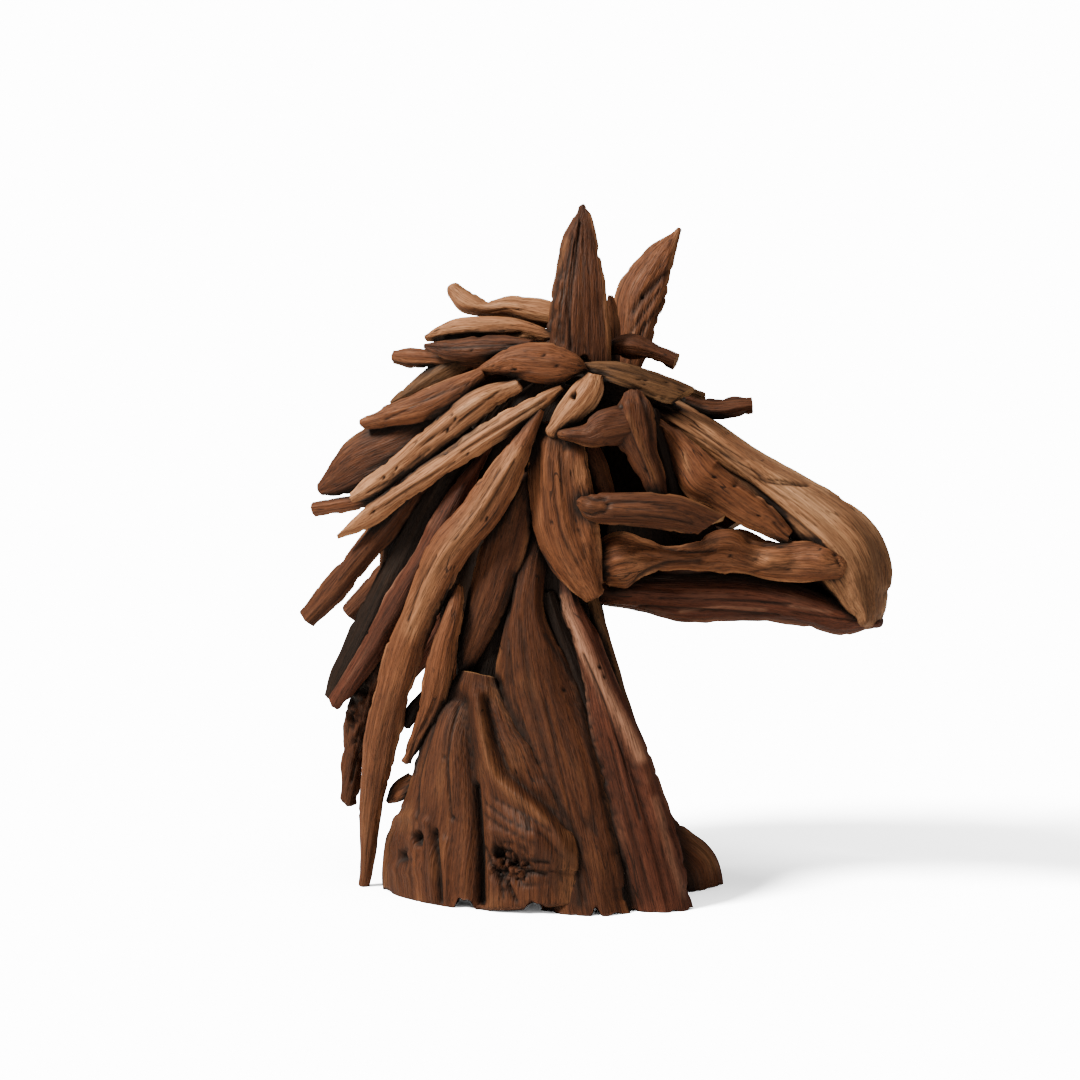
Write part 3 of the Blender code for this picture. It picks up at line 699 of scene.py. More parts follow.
maneLong = {
    "name": "maneLong", "node": "mane_strand_long", "finish": "tan", "thick": 26, "ridge": 0.55,
    "ridgeAt": -0.2, "roughMuch": 0.35,
    "path": [
        (541, 411, 88, 7), (509, 468, 95, 34), (482, 512, 97, 42), (446, 556, 97, 46), (424, 602, 94, 40),
        (402, 660, 90, 40), (382, 735, 84, 36), (372, 800, 80, 24), (364, 884, 76, 13),
    ],
    "holes": [
        (487, 513, 1.2, 1.3, 2.5), (487, 519, 1.2, 1.2, 2.5), (446, 576, 1.9, 1.6, 3),
        (455, 567, 1.2, 2, 2.5),
    ],
    "grooves": [
        (1, 1.8, [(500, 470), (478, 505), (455, 540)]), (1, 1.6, [(515, 460), (498, 490), (480, 520)]),
        (1.2, 1.8, [(436, 556), (420, 585), (408, 620)]), (1, 1.4, [(455, 575), (440, 610), (425, 650)]),
        (4, -1.8, [(520, 450), (480, 510), (440, 560), (415, 620)]),
    ],
    "paintedShade": [(14, 0.3, [(388, 700), (372, 800), (364, 880)])],
    # painted highlight along the strand's raised ridge
    "paintedHighlights": [(9, 0.5, [(515, 455), (475, 515), (438, 565), (412, 630)])],
}
carve(maneLong)

maneShoulder = {
    "name": "maneShoulder", "node": "mane_strand_shoulder", "finish": "tan", "thick": 20, "square": 2.2,
    "furrow": 1.2, "crackMuch": 0.6,
    "path": [
        (459, 588, 88, 12), (454, 610, 93, 22), (444, 645, 96, 28), (437, 680, 96, 30),
        (429, 712, 93, 24), (407, 760, 90, 9),
    ],
}
carve(maneShoulder)

manePale = {
    "name": "manePale", "node": "mane_strand_4", "finish": "pale", "thick": 20, "ridge": 0.5,
    "path": [
        (562, 388, 82, 10), (520, 415, 88, 23), (480, 441, 89, 25), (440, 467, 87, 25),
        (400, 494, 84, 23), (366, 518, 80, 20), (338, 536, 78, 8),
    ],
    "holes": [
        (444, 452, 1.5, 1.2, 2.5), (468, 454, 1.2, 1.1, 2.5), (472, 453, 1.2, 1.1, 2.5),
        (373, 512, 2.5, 1.4, 2.5),
    ],
    "grooves": [
        (1, 1.6, [(545, 400), (500, 428), (460, 452)]), (1, 1.5, [(455, 462), (410, 488), (370, 514)]),
        (1, 1.5, [(500, 420), (470, 436), (440, 456)]),
    ],
}
carve(manePale)

manePaleUpper = {
    "name": "manePaleUpper", "node": "mane_strand_3", "finish": "pale", "thick": 20, "ridge": 0.5,
    "ridgeAt": 0.2,
    "path": [
        (517, 385, 80, 12), (480, 402, 86, 29), (440, 433, 86, 31), (400, 465, 83, 26),
        (372, 486, 80, 20), (353, 498, 78, 9),
    ],
    "holes": [
        (451, 415, 1.6, 1.4, 3), (454, 420, 1.4, 1.2, 3), (447, 431, 1.6, 1.4, 3),
        (397, 468, 1.5, 1.4, 3), (392, 475, 1.4, 1.2, 3), (383, 478, 1.3, 1.2, 3),
    ],
    "grooves": [
        (1, 1.8, [(500, 390), (460, 420), (420, 446)]), (1, 1.5, [(430, 448), (395, 478), (368, 492)]),
    ],
}
carve(manePaleUpper)

maneTop = {
    "name": "maneTop", "node": "mane_strand_1", "finish": "tan", "thick": 20, "ridge": 0.45,
    "path": [
        (482, 374, 78, 12), (455, 391, 84, 28), (425, 405, 84, 30), (392, 415, 80, 24),
        (363, 423, 76, 11),
    ],
    "holes": [(441, 394, 1.4, 1.2, 2.5)],
    "grooves": [(1, 1.6, [(470, 382), (430, 398), (385, 420)])],
}
carve(maneTop)

maneRed = {
    "name": "maneRed", "node": "mane_strand_7", "finish": "red", "thick": 22, "ridge": 0.6,
    "ridgeAt": -0.3,
    "path": [
        (490, 446, 66, 8), (462, 490, 72, 22), (432, 545, 73, 27), (400, 600, 71, 29), (368, 655, 66, 27),
        (335, 703, 62, 16),
    ],
    "paintedShade": [(15, 0.35, [(462, 490), (432, 545), (400, 600), (368, 655)])],
}
carve(maneRed)

maneBehind = {
    "name": "maneBehind", "node": "mane_strand_13", "finish": "brown", "thick": 22,
    "path": [
        (529, 476, 70, 16), (513, 514, 76, 42), (503, 548, 78, 46), (487, 600, 80, 42),
        (472, 642, 80, 30), (461, 677, 80, 12),
    ],
}
carve(maneBehind)

maneBroad = {
    "name": "maneBroad", "node": "mane_strand_2", "finish": "brown", "thick": 20, "ridge": 0.35,
    "ends": ("torn", "round"),
    "path": [
        (478, 404, 64, 24), (440, 424, 66, 42), (402, 444, 66, 58), (364, 462, 64, 56),
        (337, 480, 62, 34), (321, 489, 60, 14),
    ],
}
carve(maneBroad)

maneStick = {
    "name": "maneStick", "node": "mane_stick", "finish": "brown", "thick": 24, "square": 2.3,
    "ends": ("torn", "cut"),
    "path": [
        (440, 452, 62, 20), (400, 508, 62, 27), (368, 548, 60, 28), (338, 585, 58, 27),
        (308, 618, 56, 22),
    ],
}
carve(maneStick)

maneStub = {
    "name": "maneStub", "node": "mane_stub", "finish": "tan", "thick": 16, "square": 3.2,
    "ends": ("torn", "cut"),
    "path": [(410, 490, 66, 12), (350, 503, 62, 16), (315, 509, 60, 17)],
}
carve(maneStub)

# near-black finish: painted shade, since this piece lies in shadow
maneDark = {
    "name": "maneDark", "node": "mane_slab_dark", "finish": "dark", "thick": 20, "ridge": 0.4,
    "ends": ("torn", "cut"),
    "path": [
        (470, 430, 52, 24), (428, 508, 54, 36), (402, 560, 54, 36), (374, 620, 52, 38),
        (346, 673, 50, 32), (334, 698, 48, 18),
    ],
}
carve(maneDark)

maneNape = {
    "name": "maneNape", "node": "mane_nape", "finish": "grey", "thick": 22,
    "path": [(486, 352, 36, 28), (448, 371, 36, 30), (420, 387, 34, 23), (392, 403, 32, 8)],
}
carve(maneNape)

maneGnarled = {
    "name": "maneGnarled", "node": "mane_gnarled", "finish": "brown", "thick": 24, "lump": 3, "flow": 9,
    "path": [
        (420, 600, 40, 26), (395, 645, 44, 34), (372, 690, 46, 36), (357, 740, 44, 30),
        (347, 800, 42, 20),
    ],
    "holes": [(364, 691, 4, 5, 7), (352, 716, 2.5, 4, 5)],
    "ragged": [(362, 715, 20, 70, 3)],
    "grooves": [(2, 3, [(372, 700), (362, 740), (352, 780)])],
}
carve(maneGnarled)

# neck and base, near side

shoulderRoot = {
    "name": "shoulderRoot", "node": "shoulder_root", "finish": "brown", "thick": 30,
    "face": (-0.3, 1, 0.25), "square": 3.2, "ridge": 0.35, "ridgeAt": -0.1, "curl": 22, "taper": 0.15,
    "grounded": True, "fan": 0.85, "furrowWide": 7, "split": 0.15, "edge": 0.8, "flow": 4,
    "notches": [(465, 9, 8), (535, 12, 10)], "ends": ("cut", "torn"), "roughMuch": 0.35,
    "path": [
        (476, 676, 86, 44), (469, 707, 93, 88), (466, 736, 99, 119), (467, 765, 105, 146),
        (468, 800, 112, 181), (467, 836, 118, 224), (464, 868, 124, 233), (465, 905, 130, 231),
    ],
    "holes": [
        (495, 851, 4, 6, 7), (421, 839, 5, 7, 9), (403, 857, 4.5, 5, 8), (438, 833, 2, 4, 5),
        (447, 758, 1.3, 1.5, 3), (460, 750, 1.2, 1.4, 3), (516, 772, 1.2, 1.2, 3),
        (453, 817, 1.6, 2.2, 3),
    ],
    "ragged": [(511, 862, 29, 26, 6), (412, 850, 24, 22, 1.6)],
    "swells": [(535, 840, 34, 17, 38, 14), (432, 790, 70, 20, 100, 7), (509, 862, 20, 16, 25, -9)],
    "grooves": [
        (9, 10, [(460, 700), (467, 750), (474, 820), (478, 900)]),
        (3, 7, [(474, 785), (477, 840), (478, 905)]),
        (6, -7, [(478, 697), (486, 747), (496, 781), (512, 793), (533, 809), (554, 830), (567, 853)]),
        (5, 5, [(487, 700), (498, 745), (509, 773), (526, 787), (547, 803), (568, 826)]),
        (3, -3, [(487, 830), (505, 836), (530, 842)]),
        (2, 4, [(483, 848), (492, 868), (508, 884), (516, 900)]),
        (2, 4, [(494, 846), (508, 862), (528, 872), (546, 874)]),
        (1.6, 3.2, [(488, 862), (499, 878), (503, 896)]),
        (1.6, 3.2, [(503, 848), (522, 858), (548, 862)]),
        (1.2, 1.8, [(486, 803), (510, 821), (543, 836), (562, 858)]),
        (1.2, 1.8, [(484, 814), (505, 828), (535, 843)]), (1, 1.6, [(492, 796), (520, 812), (550, 832)]),
        (1, 1.6, [(500, 890), (530, 884), (556, 882)]), (2.2, 5, [(437, 835), (439, 870), (440, 903)]),
        (3, -3, [(431, 822), (432, 865), (434, 900)]), (3, -3, [(446, 840), (447, 900)]),
        (4, -2, [(388, 822), (410, 815), (430, 822)]), (4, -2, [(392, 868), (408, 874), (424, 868)]),
        (1, 1.8, [(455, 705), (450, 760), (452, 820)]), (1, 1.8, [(438, 720), (425, 780), (422, 820)]),
    ],
    # painted shadow in the deep groove
    "paintedShade": [(2, 0.7, [(474, 790), (477, 840), (478, 900)])],
    # painted highlight along the raised fold
    "paintedHighlights": [(5, 0.4, [(484, 720), (490, 765), (510, 793), (545, 822)])],
}
carve(shoulderRoot)

neckMain = {
    "name": "neckMain", "node": "neck_slab_main", "finish": "brown", "thick": 28, "face": (0.1, 1, 0.25),
    "square": 3, "ridge": 0.3, "curl": 5, "taper": 0.15, "grounded": True, "fan": 0.7,
    "notches": [(598, 5, 8)], "roughMuch": 0.15,
    "path": [
        (548, 510, 56, 22), (532, 556, 66, 34), (525, 606, 78, 37), (527, 645, 84, 62),
        (535, 690, 88, 86), (558, 780, 104, 96), (588, 925, 132, 92),
    ],
    "holes": [(564, 690, 1.4, 1.4, 2)],
    "grooves": [
        (3, 1.5, [(520, 620), (532, 700), (560, 800), (585, 900)]),
        (1, 1.4, [(508, 640), (515, 700), (540, 770)]), (1, 1.4, [(545, 700), (565, 790), (590, 890)]),
        (1.1, 1.6, [(555, 845), (562, 905)]), (4, -1.5, [(560, 655), (577, 690), (592, 760), (610, 850)]),
    ],
    "paintedShade": [
        (5, 0.35, [(503, 620), (508, 680)]),
        # painted shadows along the seams where the shoulder root and the front slab stand proud of this one
        (4, 0.9, [(501, 688), (513, 715), (526, 744), (539, 771), (555, 797), (569, 821), (578, 848),
                  (579, 905)]),
        (2.5, 0.8, [(545, 635), (576, 683), (588, 741), (607, 813), (625, 880), (629, 905)]),
    ],
}
carve(neckMain)

neckFront = {
    "name": "neckFront", "node": "neck_front", "finish": "red", "thick": 28, "face": (0.45, 1, 0.2),
    "ridge": 0.5, "ridgeAt": -0.2, "taper": 0.15, "grounded": True, "roughMuch": 0.2,
    "path": [
        (562, 560, 54, 16), (572, 605, 61, 20), (590, 650, 68, 28), (618, 745, 80, 52),
        (643, 830, 92, 64), (664, 922, 100, 64),
    ],
    "holes": [(600, 668, 1.6, 1.3, 2), (604, 678, 1.6, 1.3, 2)],
    "grooves": [
        (7, -3, [(562, 600), (583, 648), (597, 675), (612, 704), (628, 733), (643, 768), (660, 820)]),
        (1.3, 2.2, [(585, 655), (604, 700), (625, 760), (640, 820)]),
        (1.1, 1.6, [(610, 740), (630, 820), (652, 900)]), (4, 2, [(630, 760), (650, 830), (668, 900)]),
    ],
    "paintedShade": [
        (7, 0.35, [(612, 760), (632, 850), (640, 900)]),
        # painted shadow along the seam beside the main slab
        (3, 0.9, [(549, 600), (578, 683), (590, 741), (610, 813), (628, 880), (631, 905)]),
    ],
    "paintedHighlights": [
        # painted highlight along the lit top of the raised ridge
        (6, 1.0, [(562, 600), (583, 648), (597, 675), (612, 704), (628, 733), (640, 757)]),
        (4, 0.4, [(655, 800), (672, 860), (684, 895)]),
    ],
}
carve(neckFront)

neckEdge = {
    "name": "neckEdge", "node": "neck_edge", "finish": "grey", "thick": 24, "face": (0.9, 1, 0.2),
    "path": [(592, 600, 42, 14), (616, 688, 48, 20), (640, 765, 54, 22), (668, 845, 62, 16)],
}
carve(neckEdge)

# near-black finish: painted shade, since this piece lies in shadow
neckStrip = {
    "name": "neckStrip", "node": "neck_strip", "finish": "dark", "thick": 22, "face": (0.3, 1, 0.2),
    "grounded": True,
    "path": [
        (548, 596, 62, 22), (570, 660, 68, 30), (590, 720, 74, 32), (608, 800, 86, 34),
        (626, 920, 108, 34),
    ],
}
carve(neckStrip)

# near-black finish: painted shade, since this piece lies in shadow
neckStub = {
    "name": "neckStub", "node": "neck_stub", "finish": "dark", "thick": 20,
    "path": [(502, 588, 64, 20), (493, 640, 66, 28), (482, 692, 74, 36)],
}
carve(neckStub)

# middle: nose and lower jaw

noseBridge = {
    "name": "noseBridge", "node": "nose_bridge", "finish": "straw", "thick": 106, "square": 3,
    "ridge": 0.12, "taper": 0.12, "ends": ("torn", "round"), "furrow": 0.25, "edge": 0.6, "split": 0.35,
    "roughMuch": 0.0,
    "path": [
        (636, 396, 0, 30), (690, 431, 0, 44), (745, 469, 0, 48), (772, 490, 0, 57), (800, 512, 0, 68),
        (838, 547, 0, 82), (855, 575, 0, 74), (862, 597, 0, 54), (867, 610, 0, 36), (868, 617, 0, 26),
    ],
    "grooves": [
        (1.1, 2, [(668, 424), (700, 438), (735, 460), (763, 475)]),
        (1, 1.8, [(690, 424), (712, 439), (745, 459)]),
        (1.3, 2.2, [(755, 470), (765, 481), (779, 483), (808, 485)]),
        (1, 1.8, [(757, 478), (785, 480), (800, 484)]),
        (2.2, 3, [(702, 452), (722, 469), (748, 485), (774, 505), (799, 523), (819, 541)]),
        (1, 1.6, [(720, 452), (750, 474), (790, 500)]), (1, 1.2, [(790, 505), (815, 525)]),
    ],
    # painted shade on the nose end's face that is turned from the light
    "paintedShade": [(26, 0.42, [(872, 560), (868, 605)])],
    "paintedHighlights": [(9, 0.35, [(780, 482), (830, 515)])],
}
carve(noseBridge)

lowerJaw = {
    "name": "lowerJaw", "node": "lower_jaw", "finish": "red", "thick": 84, "square": 3, "ridge": 0.15,
    "taper": 0.3, "ends": ("torn", "round"), "split": 0.2, "roughMuch": 0.7, "furrow": 1.3,
    "path": [
        (586, 588, 0, 26), (614, 591, 0, 32), (645, 590, 0, 44), (690, 593, 0, 58), (745, 593, 0, 54),
        (800, 602, 0, 48), (842, 615, 0, 40), (877, 622, 0, 13),
    ],
    "grooves": [
        (1.2, 2, [(660, 598), (720, 600), (790, 604)]), (1.2, 2, [(640, 606), (700, 610), (780, 616)]),
        (1, 1.6, [(790, 612), (830, 618), (862, 622)]),
    ],
    # painted shadow of the mouth along the jaw's top
    "paintedShade": [(10, 1.0, [(612, 590), (645, 578), (690, 575), (745, 576), (800, 586), (838, 598)])],
    "paintedHighlights": [(1.6, 0.5, [(680, 612), (720, 607), (765, 610)]), (1.5, 0.4, [(790, 606), (830, 612)])],
}
carve(lowerJaw)

# far side, plainer

# near-black finish: painted shade, since this piece lies in shadow
browFar = {
    "name": "browFar", "node": "brow_slab_far", "finish": "dark", "thick": 20, "mirror": True,
    "path": [
        (590, 396, 62, 60), (600, 430, 66, 100), (616, 480, 66, 120), (634, 530, 60, 106),
        (640, 566, 56, 70),
    ],
}
carve(browFar)
farCopy(cheekPlate, "cheekPlateFar", "cheek_plate_far", wider=1.25)
farCopy(cheekbone, "cheekboneFar", "cheekbone_far")
farCopy(muzzleSide, "muzzleSideFar", "muzzle_side_far")
farCopy(upperJaw, "upperJawFar", "upper_jaw_far")
farCopy(pollLozenge, "pollLozengeFar", "poll_lozenge_far", finish="brown")
farCopy(forelockSlab, "forelockSlabFar", "forelock_slab_far")
farCopy(manePale, "manePaleFar", "mane_far_upper", wider=1.4, finish="tan")
farCopy(manePaleUpper, "manePaleUpperFar", "mane_far_upper", wider=1.4, further=-5)
farCopy(maneTop, "maneTopFar", "mane_far_upper", wider=1.4, further=-3)
farCopy(maneBroad, "maneBroadFar", "mane_far_upper", further=8)
farCopy(maneLong, "maneLongFar", "mane_far_lower", keep=7)
farCopy(maneRed, "maneRedFar", "mane_far_lower", wider=1.5, further=12)
farCopy(maneBehind, "maneBehindFar", "mane_far_lower", wider=1.3, further=8)
farCopy(maneStick, "maneStickFar", "mane_far_stick")
farCopy(shoulderRoot, "shoulderRootFar", "shoulder_root_far", notches=[])
farCopy(neckMain, "neckMainFar", "neck_slab_far", wider=0.9, notches=[])

chestFlare = {
    "name": "chestFlare", "node": "chest_flare", "finish": "tan", "thick": 24, "face": (0.8, 0.45, 0.5),
    "curl": -6, "taper": 0.15, "grounded": True,
    "path": [
        (588, 600, -24, 26), (604, 690, -24, 36), (622, 757, -16, 42), (637, 790, -8, 46),
        (656, 829, -4, 50), (676, 849, -4, 54), (691, 862, -4, 56), (698, 873, -4, 56),
        (702, 900, -4, 54),
    ],
    "paintedShade": [(9, 0.9, [(655, 790), (670, 822), (684, 855), (692, 890)])],
    "paintedHighlights": [(5, 0.5, [(670, 806), (694, 838), (716, 866)])],
}
carve(chestFlare)

neckFrontFar = {
    "name": "neckFrontFar", "node": "neck_front_far", "finish": "brown", "thick": 26,
    "face": (0.45, 1, 0.2), "taper": 0.15, "mirror": True, "grounded": True,
    "path": [(544, 600, 50, 30), (562, 690, 62, 54), (580, 790, 86, 66), (598, 925, 114, 66)],
}
carve(neckFrontFar)

# inner wood that the strands are fixed to; the pieces here with the near-black finish have it as painted
# shade, since they lie in shadow

crestStrandNear = {
    "name": "crestStrandNear", "node": "crest_strands", "finish": "brown", "thick": 50, "ridge": 0.3,
    "path": [
        (520, 352, 20, 40), (452, 400, 22, 46), (416, 480, 22, 48), (402, 570, 22, 46),
        (398, 660, 22, 28),
    ],
}
carve(crestStrandNear)

crestStrandFar = {
    "name": "crestStrandFar", "node": "crest_strands", "finish": "brown", "thick": 50, "ridge": 0.3,
    "path": [
        (530, 356, -24, 40), (462, 404, -26, 46), (424, 490, -26, 48), (412, 580, -26, 42),
        (408, 640, -26, 20),
    ],
}
carve(crestStrandFar)

pollBlock = {
    "name": "pollBlock", "node": "poll_block", "finish": "dark", "thick": 132, "square": 3, "taper": 0.2,
    "ridge": 0,
    "path": [(676, 412, 0, 24), (640, 395, 0, 44), (590, 386, 0, 58), (540, 388, 0, 66)],
}
carve(pollBlock)

crestBlock = {
    "name": "crestBlock", "node": "poll_block", "finish": "dark", "thick": 80, "square": 4, "taper": 0,
    "ridge": 0,
    "path": [
        (556, 372, 0, 50), (515, 396, 0, 70), (484, 450, 0, 80), (470, 530, 0, 70), (468, 620, 0, 60),
    ],
}
carve(crestBlock)

neckSide = {
    "name": "neckSide", "node": "neck_side", "finish": "dark", "thick": 26, "square": 4, "taper": 0,
    "ridge": 0,
    "path": [(560, 392, 54, 60), (532, 450, 54, 104), (516, 530, 54, 124), (516, 622, 56, 112)],
}
carve(neckSide)
farCopy(neckSide, "neckSideFar", "neck_side_far")

throatSlab = {
    "name": "throatSlab", "node": "throat_slab", "finish": "dark", "thick": 24, "face": (1, 0.1, 0.2),
    "square": 4, "taper": 0, "ridge": 0, "grounded": True, "foot": 0,
    "path": [(578, 560, 0, 60), (603, 680, 0, 76), (629, 765, 0, 96), (656, 900, 0, 120)],
}
carve(throatSlab)

backSlab = {
    "name": "backSlab", "node": "back_slab", "finish": "brown", "thick": 24, "face": (-1, 0.1, 0.2),
    "square": 4, "taper": 0, "ridge": 0, "grounded": True,
    "path": [(484, 600, 0, 90), (470, 706, 0, 110), (440, 800, 0, 130), (412, 920, 0, 150)],
}
carve(backSlab)

# near-black piece behind the end of the cheekbone: painted shade for the hollow there
cheekInner = {
    "name": "cheekInner", "node": "brow_slab_far", "finish": "dark", "thick": 10, "ridge": 0,
    "path": [(676, 520, -30, 34), (704, 534, -32, 26), (718, 540, -34, 14)],
}
carve(cheekInner)

# splinters seen in the gap between the long strand and the shoulder
splinterLow = {
    "name": "splinterLow", "node": "back_slab", "finish": "tan", "thick": 12, "face": (-0.2, 1, 0.5),
    "path": [(412, 782, 70, 24), (398, 791, 72, 24), (389, 801, 72, 9)],
}
carve(splinterLow)

splinterHigh = {
    "name": "splinterHigh", "node": "back_slab", "finish": "dark", "thick": 14,
    "path": [(428, 692, 74, 10), (414, 712, 76, 16), (407, 726, 76, 10)],
}
carve(splinterHigh)
print("carved", len(carved), "lengths of wood,", sum(c["points"].size // 3 for c in carved), "points")

# Painted shade between pieces: the wood is filled into a coarse grid of cells, blurred, and read just off
# each surface; where wood crowds round a point its colour is darkened as shade would darken it

# settings of the painted shade in the gaps between pieces
joints = {"cell": 3.0, "blur": 2, "off": 6.0, "from": 0.16, "to": 0.5, "margin": 40}  # in millimetres


def boxBlur(cells, half):
    for axis in range(3):
        pad = [(0, 0)] * 3
        pad[axis] = (half + 1, half)
        summed = np.cumsum(np.pad(cells, pad), axis=axis)
        size = cells.shape[axis]
        cells = (np.take(summed, range(2 * half + 1, 2 * half + 1 + size), axis=axis)
                 - np.take(summed, range(size), axis=axis)) / (2 * half + 1)
    return cells


def paintJointShade():
    low = np.min([c["points"].min((0, 1)) for c in carved], axis=0) - joints["margin"]
    high = np.max([c["points"].max((0, 1)) for c in carved], axis=0) + joints["margin"]
    cells = np.zeros(np.ceil((high - low) / joints["cell"]).astype(int), np.float32)
    for c in carved:
        steps = int(c["piece"]["thick"] / 2 / joints["cell"]) + 3
        for t in np.linspace(0.05, 0.95, steps):
            at = (c["core"] + t * (c["points"] - c["core"]) - low) / joints["cell"]
            cells[tuple(at.astype(int).reshape(-1, 3).T)] = 1
    for _ in range(2):
        cells = boxBlur(cells, joints["blur"])
    for c in carved:
        at = ((c["points"] + c["normal"] * joints["off"] - low) / joints["cell"]).astype(int)
        at = np.clip(at, 0, np.array(cells.shape) - 1)
        c["jointShade"] = smooth(joints["from"], joints["to"], cells[at[..., 0], at[..., 1], at[..., 2]])


paintJointShade()
print("joints darkened")

# Weathered teak: sun and water have left it silver-tan on worn faces and red-brown below; painted highlights
# lighten rims and lit ridges, and painted shade darkens cracks, hollows and the gaps between pieces


def linear(code):
    parts = [int(code[k : k + 2], 16) / 255 for k in (1, 3, 5)]
    return (*[p / 12.92 if p <= 0.04045 else ((p + 0.055) / 1.055) ** 2.4 for p in parts], 1)


# A setting is one of the node's own properties, or an input's value or link, by its name or number
def addNode(tree, kind, settings):
    made = tree.nodes.new(kind)
    for key, value in settings.items():
        if isinstance(value, bpy.types.NodeSocket):
            tree.links.new(value, made.inputs[key])
        elif isinstance(key, str) and hasattr(made, key):
            setattr(made, key, value)
        else:
            made.inputs[key].default_value = value
    return made


# Dark, middle and light wood, the greyer patches, and the worn faces, whose colour also paints the highlights
finishes = {
    "pale": ("#653f28", "#996948", "#ba8962", "#825234", "#d4a680"),
    "tan": ("#432415", "#6c4128", "#8c5c3d", "#5a321d", "#ad7a55"),
    "straw": ("#65412a", "#966a4a", "#b78862", "#815032", "#d1a27b"),
    "brown": ("#2a150d", "#4c2a18", "#663e26", "#3d2113", "#805536"),
    "red": ("#2d150e", "#522b1c", "#6c3e2c", "#432115", "#9a6e57"),
    "grey": ("#352213", "#5f4129", "#7d5b3d", "#543722", "#997452"),
    # near-black finish for inner pieces that lie in shadow: painted shade
    "dark": ("#100803", "#1d1008", "#2c1a0f", "#150b06", "#412b1b"),
}
grain = {
    "streak": (8, 240, 240),  # streaks 4 mm wide and 120 mm long, with finer ones in them
    "line": (14, 620, 620),  # grain lines 1.6 mm apart, drawn coarser than real ones so that they show
    "pore": (110, 1100, 1100),  # short dark pores under 1 mm wide
    "check": (5, 75, 75),  # thin dark checks along the grain, 0.5 to 1 mm wide
    "patch": (9, 20, 20),  # greyer patches about 50 mm wide and 110 mm long
    "bump": 0.0009,  # metres
}
# Detail and roughness of each noise, then the noise that each look is taken from, its low and high and theirs
fineness = {
    "streak": (4.0, 0.62),
    "line": (2.0, 0.6),
    "pore": (1.0, 0.55),
    "check": (1.5, 0.4),
    "patch": (3.0, 0.55),
}
spreads = {
    "patched": ("patch", 0.45, 0.75, 0, 0.6),
    "checked": ("patch", 0.44, 0.54, 0, 0.8),
    "lined": ("line", 0.36, 0.6, 0.62, 1.12),
    "pored": ("pore", 0.3, 0.42, 0.5, 1),
    "rough": ("streak", 0.3, 0.7, 0.72, 0.52),
}
# Colours that no finish changes: open cracks, sawn ends gone pale, and the painted shade in hollows and
# between pieces
shades = {"check": "#1d1009", "sawn": "#8a6544", "hollowShade": "#1b0f09", "jointShade": "#150c08"}


# Layers from below: streaks of the finish's colours, greyer patches, worn highs with painted highlights,
# grain lines, pores, checks, sawn ends, painted shade in hollows and painted shade between pieces. It gives
# the eye dry, dull wood with fine dark grain that follows each piece
def weatheredTeak(name, colours):
    finish = bpy.data.materials.new("weatheredTeak_" + name)
    finish.use_nodes = True
    tree = finish.node_tree
    wood = addNode(tree, "ShaderNodeAttribute", {"attribute_name": "wood"}).outputs["Vector"]
    look = addNode(tree, "ShaderNodeAttribute", {"attribute_name": "look"}).outputs
    parts = addNode(tree, "ShaderNodeSeparateColor", {"Color": look["Color"]}).outputs
    textures = {}
    for kind, (detail, rough) in fineness.items():
        scaled = addNode(tree, "ShaderNodeMapping", {"Vector": wood, "Scale": grain[kind]}).outputs[0]
        settings = {"Vector": scaled, "Scale": 1.0, "Detail": detail, "Roughness": rough}
        textures[kind] = addNode(tree, "ShaderNodeTexNoise", settings).outputs[0]
    spread = {}
    for key, (kind, *ends) in spreads.items():
        settings = dict(zip(("From Min", "From Max", "To Min", "To Max"), ends)) | {"Value": textures[kind]}
        spread[key] = addNode(tree, "ShaderNodeMapRange", settings).outputs[0]
    ramp = addNode(tree, "ShaderNodeValToRGB", {"Fac": textures["streak"]})
    stops = ramp.color_ramp.elements
    between = stops.new(0.5)
    dark, middle, light, patch, wearAndHighlight = (linear(code) for code in colours)
    for stop, at, shade in ((stops[0], 0.12, dark), (between, 0.5, middle), (stops[-1], 0.82, light)):
        stop.position, stop.color = at, shade
    settings = {"operation": "COMPARE", 0: textures["check"], 1: 0.5, 2: 0.0045}
    near = addNode(tree, "ShaderNodeMath", settings).outputs[0]
    settings = {"operation": "MULTIPLY", 0: near, 1: spread["checked"]}
    checked = addNode(tree, "ShaderNodeMath", settings).outputs[0]
    # the worn layer also paints highlights; the hollow and joint layers paint shade
    layers = (
        (spread["patched"], patch, "MIX"),
        (parts["Green"], wearAndHighlight, "MIX"),
        (1.0, spread["lined"], "MULTIPLY"),
        (1.0, spread["pored"], "MULTIPLY"),
        (checked, linear(shades["check"]), "MIX"),
        (look["Alpha"], linear(shades["sawn"]), "MIX"),
        (parts["Red"], linear(shades["hollowShade"]), "MIX"),
        (parts["Blue"], linear(shades["jointShade"]), "MIX"),
    )
    colour = ramp.outputs[0]
    for factor, shade, mode in layers:
        settings = {"data_type": "RGBA", "blend_type": mode, 0: factor, 6: colour, 7: shade}
        colour = addNode(tree, "ShaderNodeMix", settings).outputs[2]
    settings = {"operation": "ADD", 0: textures["line"], 1: textures["pore"]}
    height = addNode(tree, "ShaderNodeMath", settings).outputs[0]
    settings = {"Strength": 0.9, "Distance": grain["bump"], "Height": height}
    bump = addNode(tree, "ShaderNodeBump", settings).outputs[0]
    shader = tree.nodes["Principled BSDF"].inputs
    shader["Specular IOR Level"].default_value = 0.17
    for source, name in ((colour, "Base Color"), (spread["rough"], "Roughness"), (bump, "Normal")):
        tree.links.new(source, shader[name])
    return finish


woods = {name: weatheredTeak(name, colours) for name, colours in finishes.items()}
print("finishes made")

# Meshes: quads between rings, a fan at each end's single point


